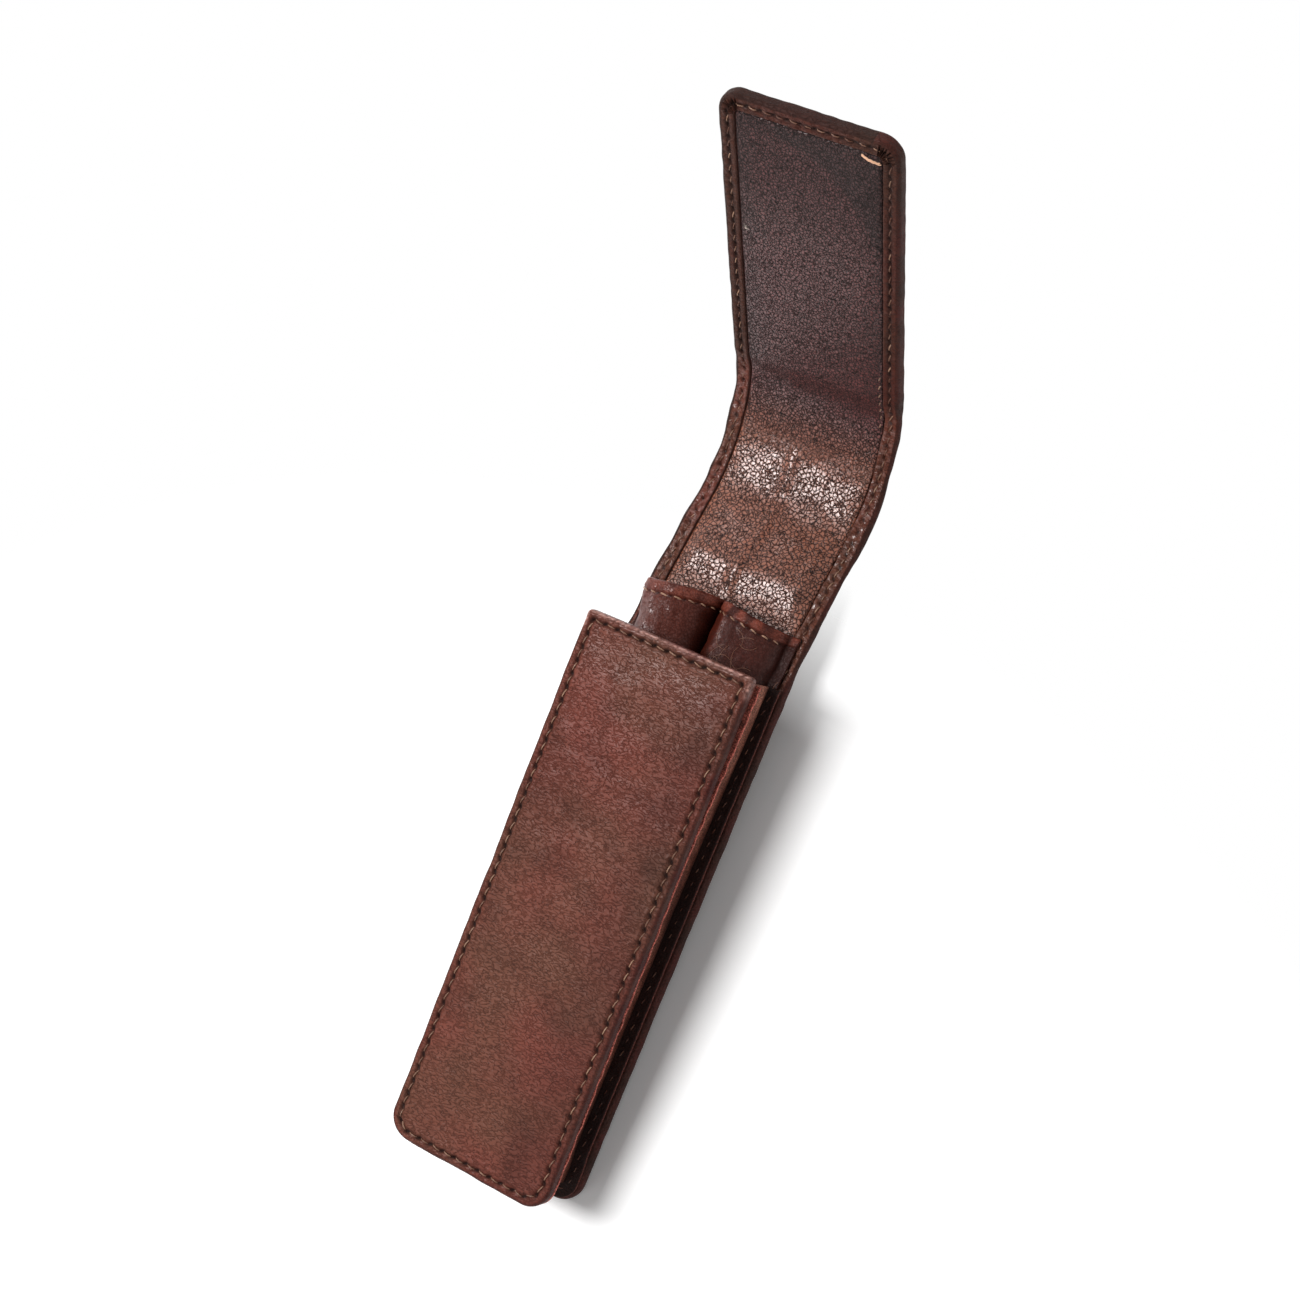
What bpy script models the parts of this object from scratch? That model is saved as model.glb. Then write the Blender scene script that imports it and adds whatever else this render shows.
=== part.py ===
"""Leather case for two pens, built from the pieces that a leather worker cuts and sews.

The case lies on its back with its flap half raised. The back, the spine and the flap are one
strap that follows a bent line; the front panel stands on a gusset, and two sewn sleeves lie
inside on the back's lining. Lengths are in metres, +Y runs from the bottom to the mouth, +Z is
up through the pocket, and the origin is the middle of the back's flat outer face.
"""
import math
from collections import namedtuple

import bmesh
import bpy
from mathutils import Vector

MM = 0.001

# Thickness of the pieces, and the gap that glue and thread keep between them
COVER = 1.1 * MM
LINING = 0.7 * MM
BOARD = 0.9 * MM
GUSSET = 0.8 * MM
SLEEVE = 0.8 * MM
GAP = 0.3 * MM

# The strap: back, spine and flap
CASE_WIDTH = 41.4 * MM
HEM_WIDTH = 3.8 * MM
EDGE_ROUND = 0.95 * MM
BACK_CORNER = 5.0 * MM
FLAP_CORNER = 5.0 * MM
CUT_CORNER = 0.4 * MM
BACK_FLAT = 121.3 * MM
BOW_RADIUS = 59.7 * MM
BOW_ANGLE = math.radians(16.8)
BOW_STRAIGHT = 18.2 * MM
HEEL_RADIUS = 32.0 * MM
FLAP_ANGLE = math.radians(53.0)
FLAP_LENGTH = 70.5 * MM
BACK_FOLD_AT = 24.7 * MM
FOLD_BAR = 2.0 * MM
FOLD_UNDERCUT = 0.3 * MM
FOLD_GAP = 0.3 * MM
BOARD_SET_BACK = 1.3 * MM
BOARD_STEP = 8.0 * MM

# The front panel, which tilts up towards the mouth
FRONT_LENGTH = 124.0 * MM
FRONT_HEIGHT_LOW = 20.0 * MM
FRONT_HEIGHT_MOUTH = 24.8 * MM
FRONT_CORNER = 5.7 * MM
MOUTH_CORNER = 1.3 * MM

# The gusset, a folded strip round three sides of the pocket, whose cut edge flares at the mouth
GUSSET_BACK_EDGE = 0.5 * MM
GUSSET_FRONT_EDGE = 0.2 * MM
GUSSET_WEB_AT = 3.6 * MM
GUSSET_FOLD = 0.5 * MM
GUSSET_MOUTH_SET_BACK = 1.5 * MM
GUSSET_RAMP = 6.0 * MM
MOUTH_FLARE = 1.1 * MM
MOUTH_LEAN = 0.5 * MM
LEAN_LENGTH = 44.0 * MM

# The sleeves, one strip that the gusset's seams hold at both sides and a seam holds in the middle
SLEEVE_BOTTOM = 14.0 * MM
SLEEVE_TOP = 134.5 * MM
SLEEVE_EDGE = 2.0 * MM
SLEEVE_MIDDLE_FOOT = 1.2 * MM
SLEEVE_FILLET = 0.7 * MM
LEFT_SLEEVE_RISE = 11.6 * MM
RIGHT_SLEEVE_RISE = 7.0 * MM
RIGHT_SLEEVE_LEAN = 1.5
SLEEVE_FULLNESS = 0.8
SLEEVE_RIM = 0.45 * MM
SLEEVE_RIM_WIDTH = 2.4 * MM

# Steps that curves are drawn with
CORNER_STEPS = 5
BEND_STEP = 3.2 * MM
FLAT_STEP = 30.0 * MM
ARCH_STEPS = 14
FILLET_STEPS = 2

# Heights in the stack of the strap, worked out from the outer face inwards
BOARD_LOW = COVER + GAP
BOARD_TOP = BOARD_LOW + BOARD
LINING_LOW = BOARD_TOP + GAP
STACK = LINING_LOW + LINING
SOFT_DROP = BOARD + GAP
SOFT_STACK = STACK - SOFT_DROP

# Places along the strap, measured on the outer face from the bottom edge
HALF = CASE_WIDTH / 2
BOW_ARC = BOW_RADIUS * BOW_ANGLE
HEEL_ARC = HEEL_RADIUS * (BOW_ANGLE + FLAP_ANGLE)
HEEL_START = BACK_FLAT + BOW_ARC + BOW_STRAIGHT
HEEL_END = HEEL_START + HEEL_ARC
STRAP_END = HEEL_END + FLAP_LENGTH
BACK_FOLD = BACK_FLAT + BACK_FOLD_AT
FLAP_FOLD = HEEL_START + HEEL_ARC / 2
BACK_BOARD_END = BACK_FLAT - BOARD_SET_BACK
FLAP_BOARD_START = HEEL_END + BOARD_SET_BACK
FOLD_CLEAR = SOFT_STACK / 2 + FOLD_GAP
REST_FACE = BACK_FLAT / 2

FRONT_TILT = math.atan((FRONT_HEIGHT_MOUTH - FRONT_HEIGHT_LOW) / FRONT_LENGTH)
GUSSET_MOUTH = FRONT_LENGTH - GUSSET_MOUTH_SET_BACK
SLEEVE_HALF = HALF - SLEEVE_EDGE
SLEEVE_FOOT = HALF - GUSSET_WEB_AT - GUSSET - GAP

# Each run of the strap: its length and its radius, where 0 is straight and below 0 bends back
RUNS = (
    (BACK_FLAT, 0.0),
    (BOW_ARC, -BOW_RADIUS),
    (BOW_STRAIGHT, 0.0),
    (HEEL_ARC, HEEL_RADIUS),
    (FLAP_LENGTH, 0.0),
)

Level = namedtuple("Level", "side start end height lifted")


# Places on the strap and on the front panel
def smooth(t):
    t = min(max(t, 0.0), 1.0)
    return t * t * (3.0 - 2.0 * t)


def station(s):
    """Y, Z and slope of the strap's outer face after a length s of leather."""
    y = -REST_FACE
    z = 0.0
    slope = 0.0
    left = s
    for length, radius in RUNS:
        step = min(left, length)
        if radius == 0.0:
            y += step * math.cos(slope)
            z += step * math.sin(slope)
        else:
            turned = slope + step / radius
            y += radius * (math.sin(turned) - math.sin(slope))
            z -= radius * (math.cos(turned) - math.cos(slope))
            slope = turned
        left -= step
        if left <= 0.0:
            break
    return y, z, slope


def softness(s):
    """1 where the strap has no board and is free to bend, 0 where a board stiffens it."""
    past_back = smooth((s - BACK_BOARD_END) / BOARD_STEP)
    at_flap = smooth((s - FLAP_BOARD_START + BOARD_STEP) / BOARD_STEP)
    return past_back - at_flap


def on_strap(x, s, height, lifted):
    """A point above the strap's outer face; lifted points ride on the board and drop past it."""
    y, z, slope = station(s)
    height = height - lifted * SOFT_DROP * softness(s)
    return Vector((x, y - height * math.sin(slope), z + height * math.cos(slope)))


def on_front(x, s, depth, lifted):
    """A point under the front panel's outer face, which tilts up towards the mouth."""
    y = s * math.cos(FRONT_TILT) + depth * math.sin(FRONT_TILT)
    z = FRONT_HEIGHT_LOW + s * math.sin(FRONT_TILT) - depth * math.cos(FRONT_TILT)
    return Vector((x, y - REST_FACE, z))


def stops_between(start, end):
    """Places where a strap needs an edge across it: close together on bends, sparse on flats."""
    stops = []
    at = 0.0
    for length, radius in RUNS:
        stepped = radius != 0.0
        count = max(1, math.ceil(length / (BEND_STEP if stepped else FLAT_STEP)))
        stops += [at + length * k / count for k in range(count)]
        at += length
    for board_end in (BACK_BOARD_END, FLAP_BOARD_START - BOARD_STEP):
        stops += [board_end + BOARD_STEP * k / 4 for k in range(5)]
    stops.sort()
    kept = []
    for stop in stops:
        if start < stop < end and (not kept or stop - kept[-1] > MM):
            kept.append(stop)
    return kept


# Meshes
def half_outline(start, end, radii, level, stops, half=HALF):
    """Left half of a strap's outline as (x, s), from the middle of its start to its end."""
    edge = level.side - half
    low = start + level.start
    high = end - level.end
    first = max(radii[0] - level.side, CUT_CORNER)
    last = max(radii[1] - level.side, CUT_CORNER)
    turns = [math.pi / 2 * k / CORNER_STEPS for k in range(CORNER_STEPS + 1)]
    points = [(edge + first - first * math.sin(t), low + first - first * math.cos(t)) for t in turns]
    points += [(edge, stop) for stop in stops]
    points += [(edge + last - last * math.cos(t), high - last + last * math.sin(t)) for t in turns]
    return points


def ladder(bm, ring):
    """Fill a ring whose left and right halves mirror each other with faces across it."""
    for k in range(len(ring) // 2 - 1):
        bm.faces.new((ring[k], ring[k + 1], ring[-2 - k], ring[-1 - k]))


def bridge(bm, low, high, closed):
    count = len(low)
    for k in range(count if closed else count - 1):
        after = (k + 1) % count
        bm.faces.new((low[k], low[after], high[after], high[k]))


def strap_mesh(name, levels, start, end, radii, place, stops):
    """Rings of one outline at growing insets and heights, bridged and closed at both ends."""
    bm = bmesh.new()
    rings = []
    for level in levels:
        left = half_outline(start, end, radii, level, stops)
        points = left + [(-x, s) for x, s in reversed(left)]
        ring = [bm.verts.new(place(x, s, level.height, level.lifted)) for x, s in points]
        rings.append(ring)
    for low, high in zip(rings, rings[1:]):
        bridge(bm, low, high, True)
    ladder(bm, rings[0])
    ladder(bm, rings[-1])
    return finish_mesh(bm, name)


def finish_mesh(bm, name):
    bmesh.ops.recalc_face_normals(bm, faces=bm.faces)
    mesh = bpy.data.meshes.new(name)
    bm.to_mesh(mesh)
    bm.free()
    mesh.shade_smooth()
    mesh.set_sharp_from_angle(angle=math.radians(40))
    return mesh


def end_inset(kind, side, height, lifted):
    """How far a level stops short of its strap's end, for the ways that an end is finished."""
    if kind == "hem":
        return side
    if kind == "cut":
        return 0.0
    radius = SOFT_STACK / 2
    above = height - lifted * SOFT_DROP - radius
    return -math.sqrt(max(radius * radius - above * above, 0.0))


def cover_levels(start_kind, end_kind):
    """A cover is a tray: its edges turn up round the board and in over it as a hem."""
    nick = EDGE_ROUND * (1 - math.cos(math.pi / 4))
    wall = (
        (EDGE_ROUND, 0.0, 0),
        (nick, nick, 0),
        (0.0, EDGE_ROUND, 0),
        (0.0, STACK - EDGE_ROUND, 1),
        (nick, STACK - nick, 1),
        (EDGE_ROUND, STACK, 1),
    )
    levels = []
    for side, height, lifted in wall:
        start = end_inset(start_kind, side, height, lifted)
        end = end_inset(end_kind, side, height, lifted)
        levels.append(Level(side, start, end, height, lifted))
    lip = [HEM_WIDTH if kind == "hem" else FOLD_BAR for kind in (start_kind, end_kind)]
    inner = [COVER if kind == "hem" else FOLD_BAR - FOLD_UNDERCUT for kind in (start_kind, end_kind)]
    levels.append(Level(HEM_WIDTH, lip[0], lip[1], STACK, 1))
    levels.append(Level(HEM_WIDTH, lip[0], lip[1], LINING_LOW, 1))
    levels.append(Level(COVER, inner[0], inner[1], LINING_LOW, 1))
    levels.append(Level(COVER, inner[0], inner[1], COVER, 0))
    return levels


def plate_levels(inset, low, top, lifted, start=None, end=None):
    """A flat sheet between two heights; its ends take the side's inset unless given their own."""
    start = inset if start is None else start
    end = inset if end is None else end
    return [Level(inset, start, end, height, lifted) for height in (low, top)]


def over_sleeves(s):
    """How far the gusset's back flange rises to lie on the edge of the sleeve strip."""
    return (SLEEVE + GAP) * smooth((s - SLEEVE_BOTTOM + GAP) / GUSSET_RAMP + 1)


def gusset_mesh(name):
    """A folded strip: its section runs down one side of the pocket, round the bottom and back."""
    base = STACK + GAP
    inner = GUSSET_WEB_AT + GUSSET
    section = (
        (GUSSET_BACK_EDGE, base, None),
        (inner - GUSSET_FOLD, base, None),
        (inner, base + GUSSET_FOLD, None),
        (inner, base + GUSSET_FOLD, MOUTH_LEAN),
        (inner - GUSSET_FOLD, base, MOUTH_LEAN),
        (GUSSET_FRONT_EDGE, base, MOUTH_FLARE),
        (GUSSET_FRONT_EDGE, base + GUSSET, MOUTH_FLARE),
        (GUSSET_WEB_AT, base + GUSSET, MOUTH_LEAN),
        (GUSSET_WEB_AT, base + GUSSET, None),
        (GUSSET_BACK_EDGE, base + GUSSET, None),
    )
    leg = [GUSSET_MOUTH - LEAN_LENGTH * k / 4 for k in range(5)]
    leg += [GUSSET_MOUTH / 2, GUSSET_MOUTH / 4]
    leg += [SLEEVE_BOTTOM - GAP - GUSSET_RAMP * k / 4 for k in range(5)]
    bm = bmesh.new()
    lines = []
    for inset, height, lean in section:
        level = Level(inset, inset, 0.0, height, 1)
        corner = half_outline(0.0, GUSSET_MOUTH, (BACK_CORNER, 0.0), level, [])[: CORNER_STEPS + 1]
        left = [(inset - HALF, s) for s in leg] + corner[::-1]
        points = left + [(-x, s) for x, s in reversed(left)]
        line = []
        for x, s in points:
            if lean is None:
                point = on_strap(x, s, height + over_sleeves(s), 1)
            else:
                out = lean * smooth((s - GUSSET_MOUTH) / LEAN_LENGTH + 1)
                point = on_front(x + math.copysign(out, x), s, height, 0)
            line.append(bm.verts.new(point))
        lines.append(line)
    for low, high in zip(lines, lines[1:] + lines[:1]):
        bridge(bm, low, high, False)
    bm.faces.new([line[0] for line in lines])
    bm.faces.new([line[-1] for line in lines])
    return finish_mesh(bm, name)


def arch_points(left, right, rise, lean):
    """Middle line of one sleeve: a fillet up, an arch over the pen, a fillet down. The arch is
    fuller than half an ellipse, and a lean above 1 moves its crown to the left."""
    points = []
    for k in range(FILLET_STEPS + 1):
        turn = math.pi / 2 * k / FILLET_STEPS
        height = SLEEVE_FILLET * (1 - math.cos(turn))
        points.append((left + SLEEVE_FILLET * math.sin(turn), height))
    width = right - left - 2 * SLEEVE_FILLET
    for k in range(1, ARCH_STEPS):
        turn = math.pi * k / ARCH_STEPS
        across = width * ((1 - math.cos(turn)) / 2) ** lean
        height = SLEEVE_FILLET + (rise - SLEEVE_FILLET) * math.sin(turn) ** SLEEVE_FULLNESS
        points.append((left + SLEEVE_FILLET + across, height))
    for k in range(FILLET_STEPS, -1, -1):
        turn = math.pi / 2 * k / FILLET_STEPS
        height = SLEEVE_FILLET * (1 - math.cos(turn))
        points.append((right - SLEEVE_FILLET * math.sin(turn), height))
    return points


def sleeve_line():
    """Middle line of the strip across the case: foot, full sleeve, seam, flatter sleeve, foot."""
    seam = SLEEVE_MIDDLE_FOOT / 2
    line = [(-SLEEVE_HALF, 0.0)]
    line += arch_points(-SLEEVE_FOOT, -seam, LEFT_SLEEVE_RISE, 1.0)
    line += arch_points(seam, SLEEVE_FOOT, RIGHT_SLEEVE_RISE, RIGHT_SLEEVE_LEAN)
    line.append((SLEEVE_HALF, 0.0))
    return line


def sleeve_mesh(name):
    """The strip's middle line, thickened to both sides, carried along the strap."""
    line = sleeve_line()
    middle = STACK + GAP + SLEEVE / 2
    normals = []
    for k in range(len(line)):
        before = line[max(k - 1, 0)]
        after = line[min(k + 1, len(line) - 1)]
        run = math.hypot(after[0] - before[0], after[1] - before[1])
        normals.append(((before[1] - after[1]) / run, (after[0] - before[0]) / run))
    rim_low = SLEEVE_TOP - SLEEVE_RIM_WIDTH
    sections = [(SLEEVE_BOTTOM, 0.0)]
    sections += [(stop, 0.0) for stop in stops_between(SLEEVE_BOTTOM, rim_low - MM)]
    sections += [(rim_low, 0.0), (rim_low + SLEEVE_RIM, SLEEVE_RIM), (SLEEVE_TOP, SLEEVE_RIM)]
    bm = bmesh.new()
    rings = []
    for s, rim in sections:
        ring = []
        for side, thick in ((1, SLEEVE / 2 + rim), (-1, SLEEVE / 2)):
            points = [
                on_strap(x + side * thick * nx, s, middle + h + side * thick * nh, 1)
                for (x, h), (nx, nh) in zip(line, normals)
            ]
            ring += [bm.verts.new(point) for point in (points if side == 1 else reversed(points))]
        rings.append(ring)
    for low, high in zip(rings, rings[1:]):
        bridge(bm, low, high, True)
    ladder(bm, rings[0])
    ladder(bm, rings[-1])
    return finish_mesh(bm, name)


# Scene
def clear_scene():
    for obj in list(bpy.context.scene.objects):
        bpy.data.objects.remove(obj, do_unlink=True)


def material(name, colour, roughness):
    made = bpy.data.materials.new(name)
    made.use_nodes = True
    shader = made.node_tree.nodes["Principled BSDF"]
    shader.inputs["Base Color"].default_value = (*colour, 1.0)
    shader.inputs["Roughness"].default_value = roughness
    shader.inputs["Metallic"].default_value = 0.0
    made.diffuse_color = (*colour, 1.0)
    return made


def add_piece(mesh, finish, parent=None):
    piece = bpy.data.objects.new(mesh.name, mesh)
    bpy.context.collection.objects.link(piece)
    mesh.materials.append(finish)
    if parent is not None:
        piece.parent = parent
        piece.matrix_parent_inverse = parent.matrix_world.inverted()
    return piece


def add_fold(name, s, parent=None):
    """An empty on a fold's axis, in the middle of the soft leather's thickness."""
    empty = bpy.data.objects.new(name, None)
    bpy.context.collection.objects.link(empty)
    place = on_strap(0.0, s, STACK / 2 + SOFT_DROP / 2, 1)
    empty.location = place - (parent.matrix_world.translation if parent else Vector())
    empty.parent = parent
    bpy.context.view_layer.update()
    return empty


def strap_piece(name, levels, start, end, radii, finish, parent=None):
    margin = max(max(radii), HEM_WIDTH + CUT_CORNER, FOLD_BAR + CUT_CORNER)
    first = margin if radii[0] > CUT_CORNER else FOLD_BAR + 2 * GAP + CUT_CORNER
    last = margin if radii[1] > CUT_CORNER else FOLD_BAR + 2 * GAP + CUT_CORNER
    stops = stops_between(start + first + GAP, end - last - GAP)
    mesh = strap_mesh(name, levels, start, end, radii, on_strap, stops)
    return add_piece(mesh, finish, parent)


def build_back(cover, board, lining):
    end = BACK_FOLD - FOLD_CLEAR
    radii = (BACK_CORNER, CUT_CORNER)
    inside = COVER + GAP
    strap_piece("back_cover", cover_levels("hem", "cut"), 0.0, end, radii, cover)
    board_levels = plate_levels(inside, BOARD_LOW, BOARD_TOP, 0, end=0.0)
    strap_piece("back_board", board_levels, 0.0, BACK_BOARD_END, radii, board)
    lining_levels = plate_levels(HEM_WIDTH + GAP, LINING_LOW, STACK, 1, end=FOLD_BAR + GAP)
    strap_piece("back_lining", lining_levels, 0.0, end, radii, lining)


def build_spine(cover, lining, fold):
    radii = (CUT_CORNER, CUT_CORNER)
    bar = FOLD_BAR + GAP
    strap_piece("spine_cover", cover_levels("nose", "nose"), BACK_FOLD, FLAP_FOLD, radii, cover, fold)
    levels = plate_levels(HEM_WIDTH + GAP, LINING_LOW, STACK, 1, start=bar, end=bar)
    strap_piece("spine_lining", levels, BACK_FOLD, FLAP_FOLD, radii, lining, fold)


def build_flap(cover, board, lining, fold):
    start = FLAP_FOLD + FOLD_CLEAR
    radii = (CUT_CORNER, FLAP_CORNER)
    inside = COVER + GAP
    strap_piece("flap_cover", cover_levels("cut", "hem"), start, STRAP_END, radii, cover, fold)
    board_levels = plate_levels(inside, BOARD_LOW, BOARD_TOP, 0, start=0.0)
    strap_piece("flap_board", board_levels, FLAP_BOARD_START, STRAP_END, radii, board, fold)
    lining_levels = plate_levels(HEM_WIDTH + GAP, LINING_LOW, STACK, 1, start=FOLD_BAR + GAP)
    strap_piece("flap_lining", lining_levels, start, STRAP_END, radii, lining, fold)


def build_front(cover, board, lining):
    radii = (FRONT_CORNER, MOUTH_CORNER)
    inside = COVER + GAP
    stops = [FRONT_LENGTH * k / 5 for k in (1, 2, 3, 4)]
    layers = (
        ("front_cover", cover_levels("hem", "hem"), cover),
        ("front_board", plate_levels(inside, BOARD_LOW, BOARD_TOP, 0), board),
        ("front_lining", plate_levels(HEM_WIDTH + GAP, LINING_LOW, STACK, 0), lining),
    )
    for name, levels, finish in layers:
        add_piece(strap_mesh(name, levels, 0.0, FRONT_LENGTH, radii, on_front, stops), finish)


def build():
    clear_scene()
    cover = material("waxed_cowhide", (0.125, 0.046, 0.036), 0.45)
    lining = material("lining_leather", (0.072, 0.030, 0.026), 0.55)
    board = material("grey_stiffener_board", (0.35, 0.33, 0.30), 0.9)
    gusset = material("gusset_leather", (0.095, 0.030, 0.026), 0.6)
    sleeve = material("sleeve_leather", (0.105, 0.038, 0.032), 0.5)
    back_fold = add_fold("back_fold", BACK_FOLD)
    flap_fold = add_fold("flap_fold", FLAP_FOLD, back_fold)
    build_back(cover, board, lining)
    build_spine(cover, lining, back_fold)
    build_flap(cover, board, lining, flap_fold)
    build_front(cover, board, lining)
    add_piece(gusset_mesh("gusset_strip"), gusset)
    add_piece(sleeve_mesh("pen_sleeves"), sleeve)


build()
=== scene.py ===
# %% [markdown]
# # A leather case for two pens
#
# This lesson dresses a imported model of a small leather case: a stiff pocket with two pen
# sleeves, and a flap that hangs on a stretch of soft leather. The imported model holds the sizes
# and the joints. This script adds what the eye reads as leather: turned edges, seams with real
# stitches, grain, raw cuts and wear.

import math

import bmesh
import bpy
import numpy as np
from mathutils import Matrix, Vector


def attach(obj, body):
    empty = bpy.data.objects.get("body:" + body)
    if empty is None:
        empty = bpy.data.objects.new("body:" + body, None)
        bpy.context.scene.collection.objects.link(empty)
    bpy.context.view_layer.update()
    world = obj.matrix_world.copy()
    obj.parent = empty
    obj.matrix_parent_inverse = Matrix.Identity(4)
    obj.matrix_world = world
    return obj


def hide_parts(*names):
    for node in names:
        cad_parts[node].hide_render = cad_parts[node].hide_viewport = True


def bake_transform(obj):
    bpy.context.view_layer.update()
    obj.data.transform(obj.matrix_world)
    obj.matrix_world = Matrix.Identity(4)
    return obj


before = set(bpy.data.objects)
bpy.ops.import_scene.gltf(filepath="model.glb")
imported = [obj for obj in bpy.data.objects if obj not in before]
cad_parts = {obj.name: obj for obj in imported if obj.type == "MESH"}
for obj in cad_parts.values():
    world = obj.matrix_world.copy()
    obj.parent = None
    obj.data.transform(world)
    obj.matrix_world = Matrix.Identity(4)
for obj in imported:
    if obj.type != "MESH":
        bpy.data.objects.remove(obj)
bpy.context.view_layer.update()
MM = 0.001

# %% [markdown]
# ## The flat pattern
#
# A leather worker thinks of a strap as a flat strip: so far across, so far along, so far above
# its outer face. The strip is then bent. The whole case is modelled that way here. Every point
# is first put on the flat pattern as (x, s, h), and one function bends the pattern into place,
# so a seam or a wrinkle is drawn once and follows the bend by itself. Placing points in space
# by hand would need new numbers for each bend.

# %% Sizes of the pattern
HALF = 20.7 * MM
EDGE = 0.95 * MM
HEM = 3.8 * MM
STACK = 3.3 * MM
COVER = 1.1 * MM
LINING = 0.7 * MM
LINING_LOW = STACK - LINING
GUSSET = 0.8 * MM
SLEEVE = 0.8 * MM
GAP = 0.3 * MM
BACK_FLAT = 121.3 * MM
BOW_RADIUS = 59.7 * MM
BOW_ANGLE = math.radians(16.8)
BOW_STRAIGHT = 18.2 * MM
HEEL_RADIUS = 32.0 * MM
FLAP_ANGLE = math.radians(53.0)
FLAP_LENGTH = 70.5 * MM
SOFT_DROP = 1.2 * MM
SOFT_STEP = 8.0 * MM
BOARD_SHORT = 1.3 * MM
FRONT_LENGTH = 124.0 * MM
FRONT_HEIGHT = 20.0 * MM
FRONT_TILT = math.atan(4.8 / 124.0)
CORNER = 5.0 * MM
FRONT_CORNER = 5.7 * MM
MOUTH_CORNER = 1.3 * MM

BOW_ARC = BOW_RADIUS * BOW_ANGLE
HEEL_START = BACK_FLAT + BOW_ARC + BOW_STRAIGHT
HEEL_ARC = HEEL_RADIUS * (BOW_ANGLE + FLAP_ANGLE)
HEEL_END = HEEL_START + HEEL_ARC
STRAP_END = HEEL_END + FLAP_LENGTH

# Length and radius of each run of the strap; 0 is straight, and a minus bends it down
RUNS = (
    (BACK_FLAT, 0.0),
    (BOW_ARC, -BOW_RADIUS),
    (BOW_STRAIGHT, 0.0),
    (HEEL_ARC, HEEL_RADIUS),
    (1.0, 0.0),
)
print(f"the strap is {STRAP_END / MM:.1f} mm long and {2 * HALF / MM:.1f} mm wide")


# %% Bending the pattern
def smooth(t):
    """0 below 0, 1 above 1, and the curve 3t2 - 2t3 between."""
    t = np.clip(t, 0.0, 1.0)
    return t * t * (3.0 - 2.0 * t)


def bump(distance, width):
    """A bell: 1 in the middle, e to the minus (distance / width) squared beside it."""
    return np.exp(-((distance / width) ** 2))


def within(s, start, rising, falling, end):
    """1 between two stations, with a smooth rise and fall of these lengths inside them."""
    return smooth((s - start) / rising) * smooth((end - s) / falling)


def station(s):
    """Y, Z and slope of the outer face after s of leather: straight runs add s times the
    direction, and arcs turn the slope by s / radius and add the chord of that turn."""
    left = np.asarray(s, float)
    y = np.full(left.shape, -BACK_FLAT / 2)
    z = np.zeros(left.shape)
    slope = np.zeros(left.shape)
    for length, radius in RUNS:
        step = np.minimum(left, length)
        if radius:
            turned = slope + step / radius
            y = y + radius * (np.sin(turned) - np.sin(slope))
            z = z - radius * (np.cos(turned) - np.cos(slope))
            slope = turned
        else:
            y = y + step * np.cos(slope)
            z = z + step * np.sin(slope)
        left = np.maximum(left - step, 0.0)
    return y, z, slope


def softness(s):
    """1 where no board stiffens the strap, 0 on the boards, with a smooth step at each end."""
    board_end = BACK_FLAT - BOARD_SHORT
    board_start = HEEL_END + BOARD_SHORT
    return smooth((s - board_end) / SOFT_STEP) - smooth((s - board_start + SOFT_STEP) / SOFT_STEP)


def on_strap(x, s, h, lifted=1.0):
    """The pattern point (x, s, h) in space: h runs square to the outer face, and what lies on
    the boards (lifted 1) sinks by their thickness where they end."""
    y, z, slope = station(s)
    h = h - lifted * SOFT_DROP * softness(s)
    return np.stack(np.broadcast_arrays(x, y - h * np.sin(slope), z + h * np.cos(slope)), -1)


def on_front(x, s, h, lifted=0.0):
    """The pattern point (x, s, h) of the front panel: h is the depth below its outer face,
    and the panel rises by FRONT_TILT towards the mouth. lifted changes nothing here, because
    the panel is stiff from end to end; it lets this function stand where on_strap does."""
    y = s * math.cos(FRONT_TILT) + h * math.sin(FRONT_TILT) - BACK_FLAT / 2
    z = FRONT_HEIGHT + s * math.sin(FRONT_TILT) - h * math.cos(FRONT_TILT)
    return np.stack(np.broadcast_arrays(x, y, z), -1)


def noise(x, s, size, seed):
    """Uneven ground, mostly between -1 and 1: the sum of 16 sine waves in random directions
    on the pattern, divided by 4, with wavelengths from 0.7 to 1.5 times the size."""
    rng = np.random.default_rng(seed)
    total = 0.0
    for turn, stretch, phase in rng.random((16, 3)):
        wave = 2 * math.pi / (size * (0.7 + 0.8 * stretch))
        across = x * math.cos(turn * math.pi) + s * math.sin(turn * math.pi)
        total = total + np.sin(wave * across + 2 * math.pi * phase)
    return total / 4.0


print("slope of the flap:", round(math.degrees(float(station(STRAP_END)[2])), 1), "degrees")

# %% [markdown]
# ## From an array to a piece
#
# A surface is an array of points with rows and columns. Blender needs the points as a list and
# the faces as numbers into it. One helper does this for every piece: it joins neighbouring
# rows and columns with four-sided faces, closes what should be closed, merges points that fall
# together at a pole or a middle line, and turns the faces outwards. Values that the materials
# read, such as how close a point is to a needle hole, are stored with the points.

# %% Grid to mesh
SAME_PLACE = 0.004 * MM
SHARP_EDGE = math.radians(50.0)


def grid_faces(rows, cols, wrap_rows, wrap_cols, first=0):
    """Four corners for each cell: (r, c), (r, c+1), (r+1, c+1), (r+1, c), counted row by row."""
    r = np.arange(rows if wrap_rows else rows - 1)[:, None]
    c = np.arange(cols if wrap_cols else cols - 1)[None, :]
    r1 = (r + 1) % rows
    c1 = (c + 1) % cols
    corners = [r * cols + c, r * cols + c1, r1 * cols + c1, r1 * cols + c]
    return first + np.stack(np.broadcast_arrays(*corners), -1).reshape(-1, 4)


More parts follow.
